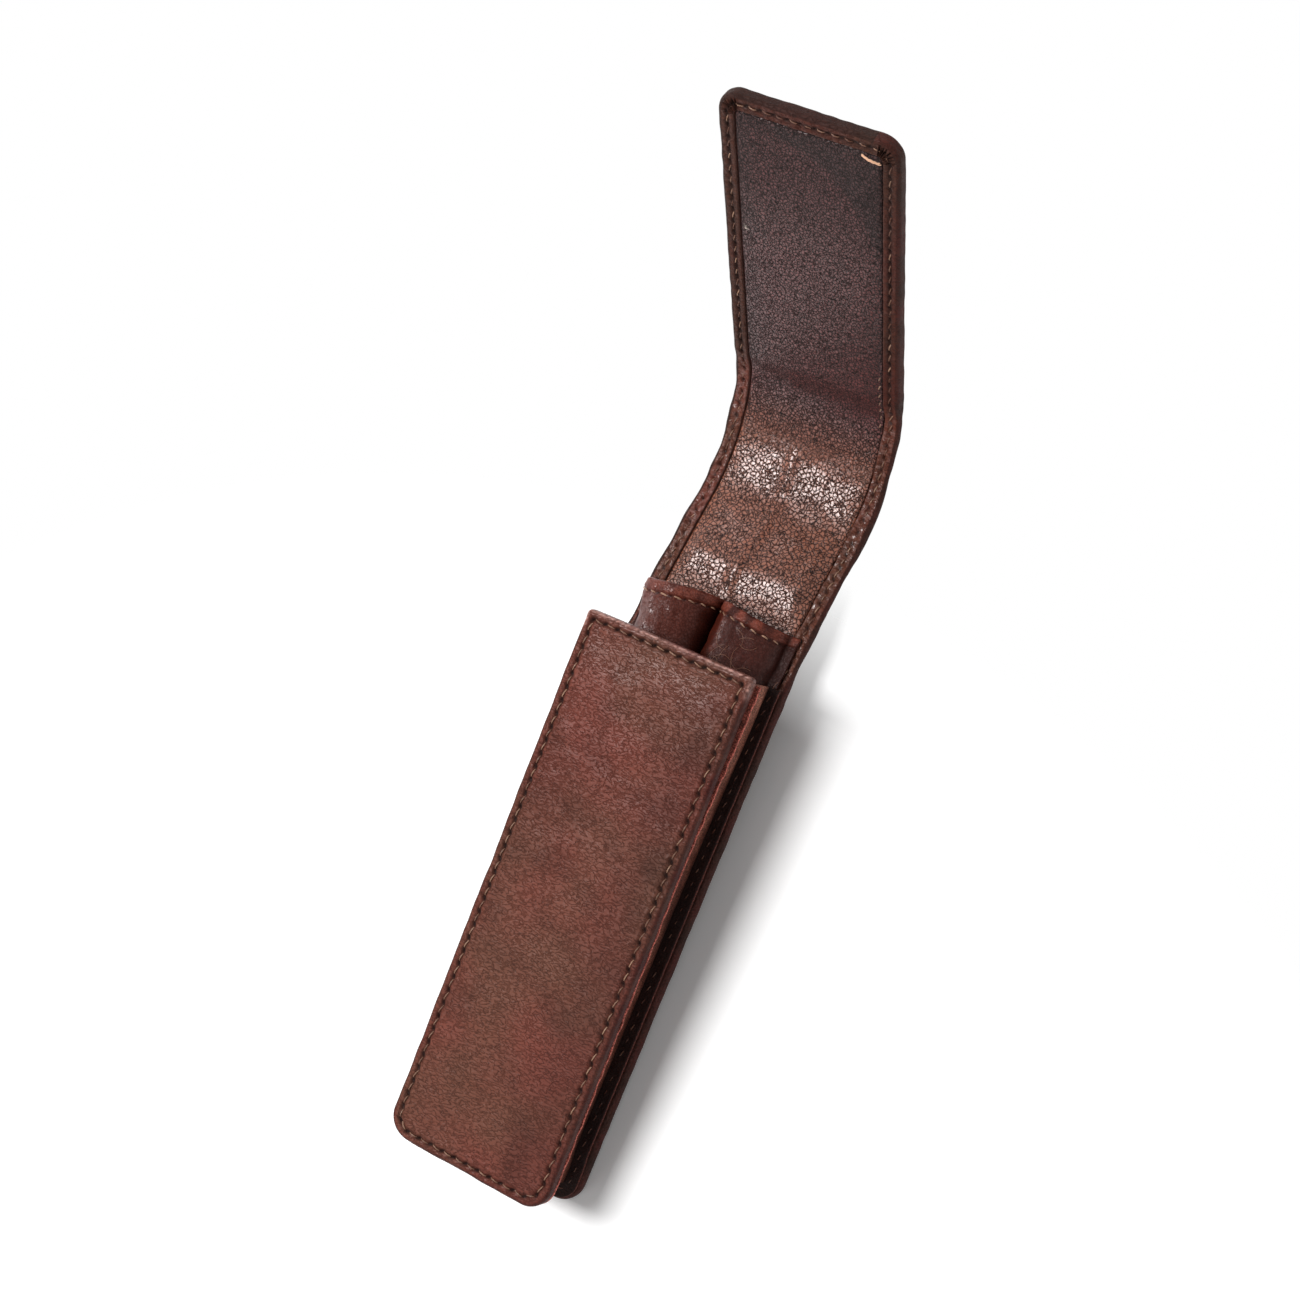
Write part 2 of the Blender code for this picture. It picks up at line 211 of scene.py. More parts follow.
def add_piece(name, points, faces, finish, values):
    """A closed, smooth piece at the origin, with its place in its mesh. values are what the
    material reads at each point, by name."""
    mesh = bpy.data.meshes.new(name)
    mesh.from_pydata(np.asarray(points).reshape(-1, 3), [], faces)
    for key, value in values.items():
        layer = mesh.attributes.new(key, "FLOAT", "POINT")
        layer.data.foreach_set("value", np.asarray(value, np.float32).ravel())
    bm = bmesh.new()
    bm.from_mesh(mesh)
    bmesh.ops.remove_doubles(bm, verts=bm.verts, dist=SAME_PLACE)
    rims = [edge for edge in bm.edges if edge.is_boundary]
    bmesh.ops.holes_fill(bm, edges=rims, sides=0)
    bmesh.ops.recalc_face_normals(bm, faces=bm.faces)
    bm.to_mesh(mesh)
    bm.free()
    mesh.shade_smooth()
    mesh.set_sharp_from_angle(angle=SHARP_EDGE)
    mesh.materials.append(finish)
    piece = bpy.data.objects.new(name, mesh)
    bpy.context.collection.objects.link(piece)
    triangles = sum(len(face.vertices) - 2 for face in mesh.polygons)
    print(f"{name}: {triangles} triangles")
    return piece


# %% [markdown]
# ## Camera, floor and light
#
# The camera stands where the photographer stood: a little to the right of the case and nearly
# above it, about half a metre away. The case lies on its back, and its soft bend reaches
# deeper than the pocket's flat back, so the floor touches the bottom edge and the bend, and it
# lies 3.2 degrees off the pocket's own plane. Laid right open, the flap hangs lower than that,
# as it does over a table's edge. So the floor is drawn only round the pocket and fades out
# where the soft leather begins: past that, the camera and the lamps see through it.
#
# The key softbox hangs high on the left, just where the two curves of the soft leather mirror
# it to the camera, and is narrow, so it shows as two bright bands. A weak one beside it wakes
# the grain between the bands. Four more are weak as well: one behind for the mouth's folded
# edge, one low in front for the pebbles of the raised flap, one low on the left for the flanks
# of the sleeves, and one on the right for the gusset. An even white room fills the shade. It
# is only as strong as it must be, because a white room laid over dark leather turns it grey.

# %% Camera
CAMERA_PLACE = Vector((192.4, 87.8, 487.6)) * MM
CAMERA_RIGHT = Vector((0.843789, 0.379083, -0.379891))
CAMERA_UP = Vector((-0.369490, 0.923722, 0.101069))
CAMERA_BACK = CAMERA_RIGHT.cross(CAMERA_UP)
SENSOR_WIDTH = 36.0
FOCAL_LENGTH = 65.49

camera_data = bpy.data.cameras.new("camera")
camera_data.sensor_width = SENSOR_WIDTH
camera_data.lens = FOCAL_LENGTH
camera_data.clip_start = 0.01
camera = bpy.data.objects.new("camera", camera_data)
bpy.context.collection.objects.link(camera)
turn = Matrix((CAMERA_RIGHT, CAMERA_UP, CAMERA_BACK)).transposed()
camera.matrix_world = Matrix.Translation(CAMERA_PLACE) @ turn.to_4x4()
bpy.context.scene.camera = camera
print("the camera stands", round(CAMERA_PLACE.length, 3), "m from the origin")


# %% Colours and nodes
def colour(hex_code):
    """sRGB hex to the linear values that Blender works in: c / 12.92 for the darkest, and
    ((c + 0.055) / 1.055) to the 2.4 for the rest."""
    channels = [int(hex_code[k : k + 2], 16) / 255 for k in (1, 3, 5)]
    linear = [c / 12.92 if c <= 0.04045 else ((c + 0.055) / 1.055) ** 2.4 for c in channels]
    return (*linear, 1.0)


def feed(tree, node, inputs):
    """Each input takes a value, a socket, or a node, whose first live output then feeds it.
    Its key is the socket's name, or its place in the list where names repeat."""
    for key, value in inputs.items():
        if isinstance(value, bpy.types.Node):
            value = next(output for output in value.outputs if output.enabled)
        if isinstance(value, bpy.types.NodeSocket):
            tree.links.new(value, node.inputs[key])
        else:
            node.inputs[key].default_value = value


def add_node(tree, kind, inputs, **settings):
    """A new node with its settings and what feeds it."""
    node = tree.nodes.new("ShaderNode" + kind)
    for key, value in settings.items():
        setattr(node, key, value)
    feed(tree, node, inputs)
    return node


def new_material(name, roughness):
    """A material with an empty Principled shader, and the shader and its tree."""
    material = bpy.data.materials.new(name)
    material.use_nodes = True
    shader = material.node_tree.nodes["Principled BSDF"]
    shader.inputs["Roughness"].default_value = roughness
    return material, material.node_tree, shader


def ray_is(tree, *kinds):
    """1 where the ray is one of these kinds, and 0 elsewhere."""
    rays = add_node(tree, "LightPath", {}).outputs
    found = rays[f"Is {kinds[0]} Ray"]
    for kind in kinds[1:]:
        pair = {0: found, 1: rays[f"Is {kind} Ray"]}
        found = add_node(tree, "Math", pair, operation="MAXIMUM")
    return found


# %% Floor
FLOOR_SIZE = 6.0
SHEET_MIDDLE = Vector((0.0, -190.0, 0.0)) * MM
SHEET_FADES = 245 * MM
SHEET_ENDS = 280 * MM
BOTTOM_EDGE = Vector((0.0, -BACK_FLAT / 2, 0.0))
PAPER_WHITE = 0.95
WHITER_TO_THE_EYE = 1.12

bend_s = np.linspace(HEEL_START, HEEL_END, 400)
bend_y, bend_z, _ = station(bend_s)
lean = float(np.min(np.arctan2(bend_z, bend_y + BACK_FLAT / 2)))
floor_mesh = bpy.data.meshes.new("floor")
along = Vector((0.0, math.cos(lean), math.sin(lean))) * FLOOR_SIZE
aside = Vector((FLOOR_SIZE, 0.0, 0.0))
corners = [BOTTOM_EDGE + aside * a + along * b for a, b in ((-1, -1), (1, -1), (1, 1), (-1, 1))]
floor_mesh.from_pydata(corners, [], [(0, 1, 2, 3)])
floor = bpy.data.objects.new("floor", floor_mesh)
bpy.context.collection.objects.link(floor)

# White to the camera, and no more than paper to the light that it throws back
paper, paper_tree, _ = new_material("matt_white_paper", 1.0)
seen = ray_is(paper_tree, "Camera", "Glossy", "Transmission")
whiter = add_node(paper_tree, "MapRange", {0: seen, 3: PAPER_WHITE, 4: WHITER_TO_THE_EYE})
bright = add_node(paper_tree, "CombineColor", {0: whiter, 1: whiter, 2: whiter})
matt = add_node(paper_tree, "BsdfDiffuse", {"Color": bright})

# Gone past the pocket, for the camera and for the shadows of the lamps
place = add_node(paper_tree, "TexCoord", {}).outputs["Object"]
reach = add_node(paper_tree, "VectorMath", {0: place, 1: SHEET_MIDDLE}, operation="DISTANCE")
gone = add_node(paper_tree, "MapRange", {0: reach, 1: SHEET_FADES, 2: SHEET_ENDS})
passing = ray_is(paper_tree, "Camera", "Shadow")
gone = add_node(paper_tree, "Math", {0: gone, 1: passing}, operation="MULTIPLY")
clear = add_node(paper_tree, "BsdfTransparent", {})
sheet = add_node(paper_tree, "MixShader", {0: gone, 1: matt, 2: clear})
feed(paper_tree, paper_tree.nodes["Material Output"], {"Surface": sheet})
floor_mesh.materials.append(paper)
print("the floor leans", round(math.degrees(lean), 2), "degrees")

# %% Room
ROOM_LIGHT = 0.22
world = bpy.data.worlds.new("white_room")
bpy.context.scene.world = world
world.use_nodes = True
room = world.node_tree
sky = room.nodes["Background"]
sky.inputs["Color"].default_value = (1.0, 1.0, 1.0, 1.0)
seen = ray_is(room, "Camera", "Glossy", "Transmission")
feed(room, sky, {"Strength": add_node(room, "MapRange", {0: seen, 3: ROOM_LIGHT, 4: 1.0})})
print("the room shines at", ROOM_LIGHT, "and looks white")

# %% Lamps
AIM = Vector((0.0, 50.0, 10.0)) * MM


def add_lamp(name, towards, distance, size, power):
    """A softbox that looks at the case: it stands at distance along towards, size is its
    width along X and its height, and the power is in watts."""
    lamp_data = bpy.data.lights.new(name, "AREA")
    lamp_data.shape = "RECTANGLE"
    lamp_data.size, lamp_data.size_y = size
    lamp_data.energy = power
    lamp = bpy.data.objects.new(name, lamp_data)
    bpy.context.collection.objects.link(lamp)
    away = Vector(towards).normalized()
    side = Vector((1.0, 0.0, 0.0))
    side = (side - away * side.dot(away)).normalized()
    faced = Matrix((side, away.cross(side), away)).transposed().to_4x4()
    lamp.matrix_world = Matrix.Translation(AIM + away * distance) @ faced
    lamp.visible_camera = False


add_lamp("key_softbox", (-0.355, -0.01, 0.935), 1.2, (0.50, 0.26), 11.0)
add_lamp("upper_softbox", (-0.37, 0.31, 0.88), 1.2, (0.4, 0.4), 2.0)
add_lamp("back_softbox", (-0.30, 0.85, 0.45), 1.2, (0.6, 0.3), 2.8)
add_lamp("low_softbox", (-0.45, -0.80, 0.40), 1.2, (0.6, 0.4), 1.7)
add_lamp("left_softbox", (-0.93, 0.08, 0.35), 1.2, (0.2, 0.3), 3.0)
add_lamp("side_softbox", (0.80, -0.25, 0.55), 1.4, (0.7, 0.7), 2.2)

bpy.context.scene.view_settings.view_transform = "Standard"
print("lamps:", [item.name for item in bpy.data.lights])

# %% [markdown]
# ## Leather
#
# The cover is cowhide that was dyed through, waxed and pressed lightly, so its grain is real:
# flat little fields parted by fine dark creases, about 0.7 mm apart and drawn out across the
# case. On the real hide half of them are finer still; those are left out, because the render
# could not show them. The grain could be a picture, but a picture stretches and has seams. It
# is worked out instead from distances in the material: how far a point lies from the nearest
# crease, counted in fields. So it stays the same size on every piece.

# %% Grain
BELL = {"interpolation_type": "SMOOTHSTEP"}
RGBA = {"data_type": "RGBA"}


def leather_grain(tree, place, polished, cell, wrinkled):
    """Distances from the nearest crease, in cells, for the fields and for the small ones in
    them, and the height of slow folds. The fields are the cells of a Voronoi pattern, and
    where polished they are stretched wider. By wrinkled they give way to wavy wrinkles, drawn
    out across the case: 3.5 times how far a noise lies from its middle value."""
    drawn = add_node(tree, "Mapping", {0: place, 3: (1 - 0.7 * wrinkled, 1.0, 1.0)})

    # A slow warp keeps the fields from looking like tiles
    drift = add_node(tree, "TexNoise", {"Vector": place, "Scale": 0.7 / cell, "Detail": 3.0})
    shift = add_node(
        tree, "VectorMath", {0: drift.outputs["Color"], 1: (1.8 * cell,) * 3}, operation="MULTIPLY"
    )
    warped = add_node(tree, "VectorMath", {0: drawn, 1: shift})
    fields, small, wide = (
        add_node(
            tree,
            "TexVoronoi",
            {"Vector": warped, "Scale": count / cell},
            feature="DISTANCE_TO_EDGE",
        )
        for count in (1.0, 2.3, 0.8)
    )
    wide = add_node(tree, "Math", {0: wide, 1: 1.35}, operation="MULTIPLY")
    fields = add_node(tree, "Mix", {0: polished, 2: fields, 3: wide})

    # A wrinkle runs where a noise crosses its middle value
    waves = add_node(
        tree, "TexNoise", {"Vector": drawn, "Scale": 1.2 / cell, "Detail": 2.0, "Distortion": 0.3}
    )
    above = add_node(tree, "Math", {0: waves, 1: 0.5}, operation="SUBTRACT")
    apart = add_node(tree, "Math", {0: above}, operation="ABSOLUTE")
    ridges = add_node(tree, "Math", {0: apart, 1: 3.5}, operation="MULTIPLY")
    fields = add_node(tree, "Mix", {0: wrinkled, 2: fields, 3: ridges})
    folds = add_node(
        tree, "TexNoise", {"Vector": warped, "Scale": 0.3 / cell, "Detail": 3.0, "Distortion": 0.5}
    )
    return fields, small, folds


# %% [markdown]
# The dye lies unevenly, which mottles the brown with redder clouds and darker patches. Use
# adds its own marks: edges are rubbed, cut edges stay raw and red, and a bend is stretched,
# which opens the grain and polishes it. Other marks are painted shade: darker colour in
# grooves, on side faces and where one part hides another from the lamps. Painting them on a
# picture would tie them to one unwrapping. So where a mark lies is stored with the points of
# each piece, and the material only says what the mark looks like.

# %% Dye and marks
CLOUD_SIZE = 24 * MM
PATCH_SIZE = 5 * MM


def leather_dye(tree, place, body, cloud, deep, marks):
    """The body colour with its clouds and patches, and each mark's colour laid over them by
    its stored value."""
    clouds = add_node(tree, "TexNoise", {"Vector": place, "Scale": 1 / CLOUD_SIZE, "Detail": 1.5})
    patches = add_node(tree, "TexNoise", {"Vector": place, "Scale": 1 / PATCH_SIZE, "Detail": 4.0})
    redder = add_node(tree, "MapRange", {0: clouds, 1: 0.35, 2: 0.7}, **BELL)
    darker = add_node(tree, "MapRange", {0: patches, 1: 0.5, 2: 0.75, 4: 0.15}, **BELL)
    dye = add_node(tree, "Mix", {0: redder, 6: colour(body), 7: colour(cloud)}, **RGBA)
    dye = add_node(tree, "Mix", {0: darker, 6: dye, 7: colour(deep)}, **RGBA)
    for key, mark in marks:
        marked = add_node(tree, "Attribute", {}, attribute_name=key).outputs["Fac"]
        dye = add_node(tree, "Mix", {0: marked, 6: dye, 7: colour(mark)}, **RGBA)
    return dye


# %% [markdown]
# Three things carry the look of leather: the creases are dark, the fields take the light, and
# the colour drifts. The dark creases are painted shade, and the lighter middles of the fields
# are partly painted highlight. The light comes in two layers. Dyed hide is dull, so its own
# IOR is low; the wax on it is clear and shiny, and it lies on the tops of the fields only. One
# even coat would look like plastic.

# %% Leather
HIDE_IOR = 1.22
WAX_IOR = 1.5


def leather(
    name, body, cloud, deep, cell, relief, wax, gloss, crease, rub_and_sheen, top, marks, wrinkled=0.0
):
    """Leather from three colours: body, cloud (the redder drift) and deep (the painted shade in
    creases and needle holes). cell is the width of a grain field and relief its height in
    metres, top how far from a crease, in cells, a field is flat, and wrinkled how far the fields
    give way to wrinkles. wax is how much wax lies on the fields and gloss its roughness, crease
    how dark the painted shade in a crease is, and rub_and_sheen how much lighter a field's
    middle is, partly as rubbing and partly as painted highlight. marks are stored values and
    their colours. Where "polish" is 1 the grain is wider and flatter and the wax is thick."""
    material, tree, shader = new_material(name, 0.6)
    feed(tree, shader, {"IOR": HIDE_IOR, "Coat Roughness": gloss, "Coat IOR": WAX_IOR})
    place = add_node(tree, "TexCoord", {}).outputs["Object"]
    polished, darkened, holes = (
        add_node(tree, "Attribute", {}, attribute_name=key).outputs["Fac"]
        for key in ("polish", "dark", "hole")
    )
    fields, small, folds = leather_grain(tree, place, polished, cell, wrinkled)

    # Height: flat fields with steep creases, specks in the fields and slow folds
    tops = add_node(tree, "MapRange", {0: fields, 1: 0.0, 2: top}, **BELL)
    specks = add_node(tree, "MapRange", {0: small, 1: 0.0, 2: 0.2, 4: 0.08}, **BELL)
    fine = add_node(tree, "Math", {0: tops, 1: specks})
    height = add_node(tree, "Math", {0: folds, 1: 0.6, 2: fine}, operation="MULTIPLY_ADD")
    flatter = add_node(tree, "MapRange", {0: polished, 3: 1.0, 4: 0.85})
    height = add_node(tree, "Math", {0: height, 1: flatter}, operation="MULTIPLY")
    grain = add_node(tree, "Bump", {"Height": height, "Distance": relief})
    feed(tree, shader, {"Normal": grain, "Coat Normal": grain})

    # Wax fills no crease: it lies on the fields, thick where polished and gone where dark
    film = add_node(tree, "MapRange", {0: polished, 3: wax, 4: 1.0})
    film = add_node(tree, "MapRange", {0: darkened, 3: film, 4: 0.0})
    waxed = add_node(tree, "Math", {0: film, 1: tops}, operation="MULTIPLY")
    feed(tree, shader, {"Coat Weight": waxed})

    # The middles of the fields are painted lighter, partly as rubbing and partly as painted
    # highlight; creases fade in and out, and they and the needle holes are painted in the deep
    # colour as painted shade
    dye = leather_dye(tree, place, body, cloud, deep, marks)
    lightened = add_node(tree, "MapRange", {0: fields, 1: 0.7 * top, 2: 2 * top, 4: rub_and_sheen}, **BELL)
    lit = add_node(tree, "Mix", {0: 1.0, 6: dye, 7: dye}, blend_type="ADD", **RGBA)
    dye = add_node(tree, "Mix", {0: lightened, 6: dye, 7: lit}, **RGBA)
    sunk = {0: fields, 1: 0.0, 2: 0.7 * top, 3: crease, 4: 0.0}
    hollow = add_node(tree, "MapRange", sunk, **BELL)
    fading = add_node(tree, "TexNoise", {"Vector": place, "Scale": 0.35 / cell, "Detail": 2.0})
    come_and_go = {0: fading, 1: 0.35, 2: 0.6, 3: 1 - 0.8 * wrinkled, 4: 1.0}
    present = add_node(tree, "MapRange", come_and_go, **BELL)
    hollow = add_node(tree, "Math", {0: hollow, 1: present}, operation="MULTIPLY")
    dark = add_node(tree, "Math", {0: hollow, 1: holes}, operation="MAXIMUM")
    shaded = add_node(tree, "Mix", {0: dark, 6: dye, 7: colour(deep)}, **RGBA)
    feed(tree, shader, {"Base Color": shaded})
    return material


# %% [markdown]
# The four leathers differ as the real ones do. The cover is waxed cowhide, thick and mottled,
# with worn, grimy and raw marks. The lining is pebbled calf, darker, with deep round pebbles.
# The gusset is split calf, thin and almost without a shine. The sleeves are soft calf, finely
# grained and satin. Each is one call, so what sets them apart can be read side by side.

# %% The four leathers
cowhide = leather(
    "waxed_cowhide",
    body="#623a2c",
    cloud="#6c362b",
    deep="#140806",
    cell=0.8 * MM,
    relief=0.13 * MM,
    wax=0.12,
    gloss=0.18,
    crease=0.6,
    rub_and_sheen=0.12,
    top=0.22,
    wrinkled=0.75,
    marks=(("worn", "#551a14"), ("dark", "#170a07"), ("raw", "#b08074")),
)
lining_hide = leather(
    "pebbled_calf_lining",
    body="#482827",
    cloud="#4e2625",
    deep="#0a0403",
    cell=0.72 * MM,
    relief=0.10 * MM,
    wax=0.85,
    gloss=0.14,
    crease=1.0,
    # The pebble tops are painted up to twice as light, as painted sheen, and the creases as painted
    # shade
    rub_and_sheen=1.0,
    top=0.21,
    marks=(("soft", "#633726"), ("burnish", "#2f1b1a"), ("speck", "#e0cfc0")),
)
gusset_hide = leather(
    "split_calf_gusset",
    body="#4a261e",
    cloud="#5e3024",
    deep="#0c0504",
    cell=0.6 * MM,
    relief=0.07 * MM,
    wax=0.1,
    gloss=0.4,
    crease=0.8,
    rub_and_sheen=0.2,
    top=0.25,
    marks=(("dark", "#120807"), ("worn", "#a06450"), ("raw", "#dc7464")),
)
sleeve_hide = leather(
    "soft_calf_sleeve",
    body="#4c1a0c",
    cloud="#581b0e",
    deep="#100605",
    cell=0.7 * MM,
    relief=0.035 * MM,
    wax=0.4,
    gloss=0.2,
    crease=0.5,
    rub_and_sheen=0.1,
    top=0.2,
    marks=(("dark", "#110605"), ("raw", "#75382a")),
)
print("leathers:", [m.name for m in (cowhide, lining_hide, gusset_hide, sleeve_hide)])

# %% [markdown]
# ## Thread and board
#
# The seams are sewn with waxed polyester thread, 0.27 mm thick, twisted from two plies: a warm
# brown with small bright glints where the wax catches the softbox. The boards inside are
# pressed leather fibre. They hardly show, but a hidden piece gets a finish too.

# %% Thread and board finishes
THREAD_IOR = 1.35
BOARD_FIBRE = 1.2 * MM

thread, thread_tree, thread_shader = new_material("waxed_polyester_thread", 0.34)
feed(thread_tree, thread_shader, {"IOR": THREAD_IOR})
tint = add_node(thread_tree, "Attribute", {}, attribute_name="tint").outputs["Fac"]
ply = add_node(thread_tree, "Attribute", {}, attribute_name="ply").outputs["Fac"]
strand = add_node(
    thread_tree, "Mix", {0: tint, 6: colour("#68392b"), 7: colour("#e0b090")}, **RGBA
)
# The groove between the two plies is painted dark, as painted shade
plied = add_node(thread_tree, "Mix", {0: ply, 6: colour("#2a150d"), 7: strand}, **RGBA)
feed(thread_tree, thread_shader, {"Base Color": plied})

board, board_tree, board_shader = new_material("leather_fibre_board", 0.9)
place = add_node(board_tree, "TexCoord", {}).outputs["Object"]
fibre = add_node(board_tree, "TexNoise", {"Vector": place, "Scale": 1 / BOARD_FIBRE, "Detail": 5.0})
pressed = add_node(
    board_tree, "Mix", {0: fibre, 6: colour("#8f8377"), 7: colour("#b3a698")}, **RGBA
)
fuzz = add_node(board_tree, "Bump", {"Height": fibre, "Distance": 0.05 * MM})
feed(board_tree, board_shader, {"Base Color": pressed, "Normal": fuzz})
for name in ("back_board", "front_board", "flap_board"):
    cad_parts[name].data.materials.clear()
    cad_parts[name].data.materials.append(board)
print("the boards keep their packed shape")

# %% [markdown]
# ## Outlines that shrink inwards
#
# A cover's edge runs round it, and so do its hem and its seam. So the surface of a cover is
# laid out in rings: each ring is the outline, drawn in by its own inset, and the rings' heights
# make the section. Half an outline is enough, because the other half mirrors it. A straight
# grid of rows across would cut the hem at the corners instead of leading it round.


# %% Half outlines
LEAST_ROUND = 0.25
ROUND_STEPS = 1.6
LEAST_STEPS = 6


def half_outline(inset, length, round_start, round_end, spacing):
    """Left half of a rounded rectangle, drawn in by inset: from the middle of its start, round
    the corner and up the side to the far middle, or straight up to length if round_end is
    None. A corner's radius shrinks by the inset, but no further than LEAST_ROUND of itself
    times the share of the width that is left. Gives x, s and the outward direction, with a
    row for each inset."""
    inset = np.atleast_1d(inset)[:, None]
    shrink = 1.0 - inset / HALF
    first = np.maximum(round_start - inset, LEAST_ROUND * round_start * shrink)
    side = -(HALF - inset)
    parts = []

    def straight(count, x0, s0, x1, s1, out_x, out_s):
        """Even steps from the first point to just before the second."""
        t = np.linspace(0.0, 1.0, count, endpoint=False)[None, :]
        parts.append((x0 + (x1 - x0) * t, s0 + (s1 - s0) * t, out_x + 0 * t, out_s + 0 * t))

    def corner(count, x0, s0, radius, start):
        """A quarter turn about its centre, from the start angle to just before its end."""
        turn = start + np.linspace(0.0, math.pi / 2, count, endpoint=False)[None, :]
        out_x, out_s = -np.sin(turn), -np.cos(turn)
        out_x, out_s = out_x + 0 * inset, out_s + 0 * inset
        parts.append((x0 + radius * out_x, s0 + radius * out_s, out_x, out_s))

    across = int(HALF / spacing)
    steps = max(int(ROUND_STEPS * round_start / spacing), LEAST_STEPS)
    straight(across, 0.0, inset, side + first, inset, 0.0, -1.0)
    corner(steps, side + first, inset + first, first, 0.0)
    up = int(length / spacing)
    if round_end is None:
        straight(up, side, inset + first, side, length + 0 * inset, -1.0, 0.0)
        end = (side, length + 0 * inset, -1.0 + 0 * inset, 0.0 * inset)
    else:
        last = np.maximum(round_end - inset, LEAST_ROUND * round_end * shrink)
        top = length - inset
        steps = max(int(ROUND_STEPS * round_end / spacing), LEAST_STEPS)
        straight(up, side, inset + first, side, top - last, -1.0, 0.0)
        corner(steps, side + last, top - last, last, math.pi / 2)
        straight(across, side + last, top, 0.0, top, 0.0, 1.0)
        end = (0.0 * inset, top, 0.0 * inset, 1.0 + 0 * inset)
    parts.append(end)
    full = [np.broadcast_arrays(*part, inset)[:4] for part in parts]
    return [np.concatenate([part[k] for part in full], axis=1) for k in range(4)]


def whole_outline(inset, length, round_start, round_end, spacing):
    """Both halves, the right one with x turned round: a closed ring, or a chain that is open
    at the far end if round_end is None."""
    halves = half_outline(inset, length, round_start, round_end, spacing)
    if round_end is None:
        left, right = slice(None, None, -1), slice(1, None)
    else:
        left, right = slice(None), slice(-2, 0, -1)
    signs = (-1, 1, -1, 1)
    return [np.concatenate([h[:, left], sign * h[:, right]], 1) for h, sign in zip(halves, signs)]


# %% [markdown]
# ## Seams
#
# A machine pricks its holes at one pitch, 3.1 mm here, along a line about 2 mm in. The
# holes are points on the outline at that inset, spaced evenly by its length. They are worked
# out first, because both the leather (which dips at each hole) and the thread need them.


# %% Needle holes
PITCH = 3.1 * MM
FRONT_SEAM = 2.0 * MM
STRAP_SEAM = 2.2 * MM
HOLE_REACH = 1.5 * MM
LOOK_AHEAD = 0.3 * MM


def needle_holes(inset, length, round_start, round_end):
    """Evenly spaced points on the closed outline at that inset, as x, s and the direction of
    the seam, which is read LOOK_AHEAD further on. The count is the length divided by PITCH,
    rounded."""
    x, s, _, _ = whole_outline(inset, length, round_start, round_end, 0.2 * MM)
    x = np.append(x[0], x[0, 0])
    s = np.append(s[0], s[0, 0])
    run = np.concatenate([[0.0], np.cumsum(np.hypot(np.diff(x), np.diff(s)))])
    count = round(run[-1] / PITCH)
    at = np.arange(count) * run[-1] / count
    ahead = at + LOOK_AHEAD
    holes_x, holes_s = np.interp(at, run, x), np.interp(at, run, s)
    along_x = np.interp(ahead % run[-1], run, x) - holes_x
    along_s = np.interp(ahead % run[-1], run, s) - holes_s
    size = np.hypot(along_x, along_s)
    return np.stack([holes_x, holes_s, along_x / size, along_s / size], 1)


def near_holes(x, s, holes, long=0.90 * MM, wide=0.44 * MM, slant=0.6):
    """How much of a needle hole each point lies in, 0 to 1: holes are slanted ovals, turned
    from the seam by slant, and the bell of the oval distance is kept from the nearest one."""
    flat_x, flat_s = np.ravel(x), np.ravel(s)
    best = np.zeros(flat_x.shape)
    for hole_x, hole_s, along_x, along_s in holes:
        beside = (abs(flat_x - hole_x) < HOLE_REACH) & (abs(flat_s - hole_s) < HOLE_REACH)
        near = np.nonzero(beside)[0]
        dx, ds = flat_x[near] - hole_x, flat_s[near] - hole_s
        turned_x = along_x * math.cos(slant) - along_s * math.sin(slant)
        turned_s = along_x * math.sin(slant) + along_s * math.cos(slant)
        along = (dx * turned_x + ds * turned_s) / long
        aside = (dx * turned_s - ds * turned_x) / wide
        best[near] = np.maximum(best[near], np.exp(-(along**2 + aside**2)))
    return best.reshape(np.shape(x))


front_holes = needle_holes(FRONT_SEAM, FRONT_LENGTH, FRONT_CORNER, MOUTH_CORNER)
strap_holes = needle_holes(STRAP_SEAM, STRAP_END, CORNER, CORNER)
print("needle holes:", len(front_holes), "in the front,", len(strap_holes), "in the strap")

# %% [markdown]
# ## The cover's section
#
# Cut across, a cover looks like a shallow tray: the outer face, a rounded edge, the hem that is
# turned in over the board, and its raw edge on the lining. The section is a list of insets and
# heights with the direction that faces outwards at each, so that swells and creases can be
# added square to the surface. Rings lie close together round the seam, where the leather
# dips, and far apart where it is plain.


# %% Tray section
# A seam is looked for in these first rings, before the hem passes the same inset again
FACE_RINGS = 30


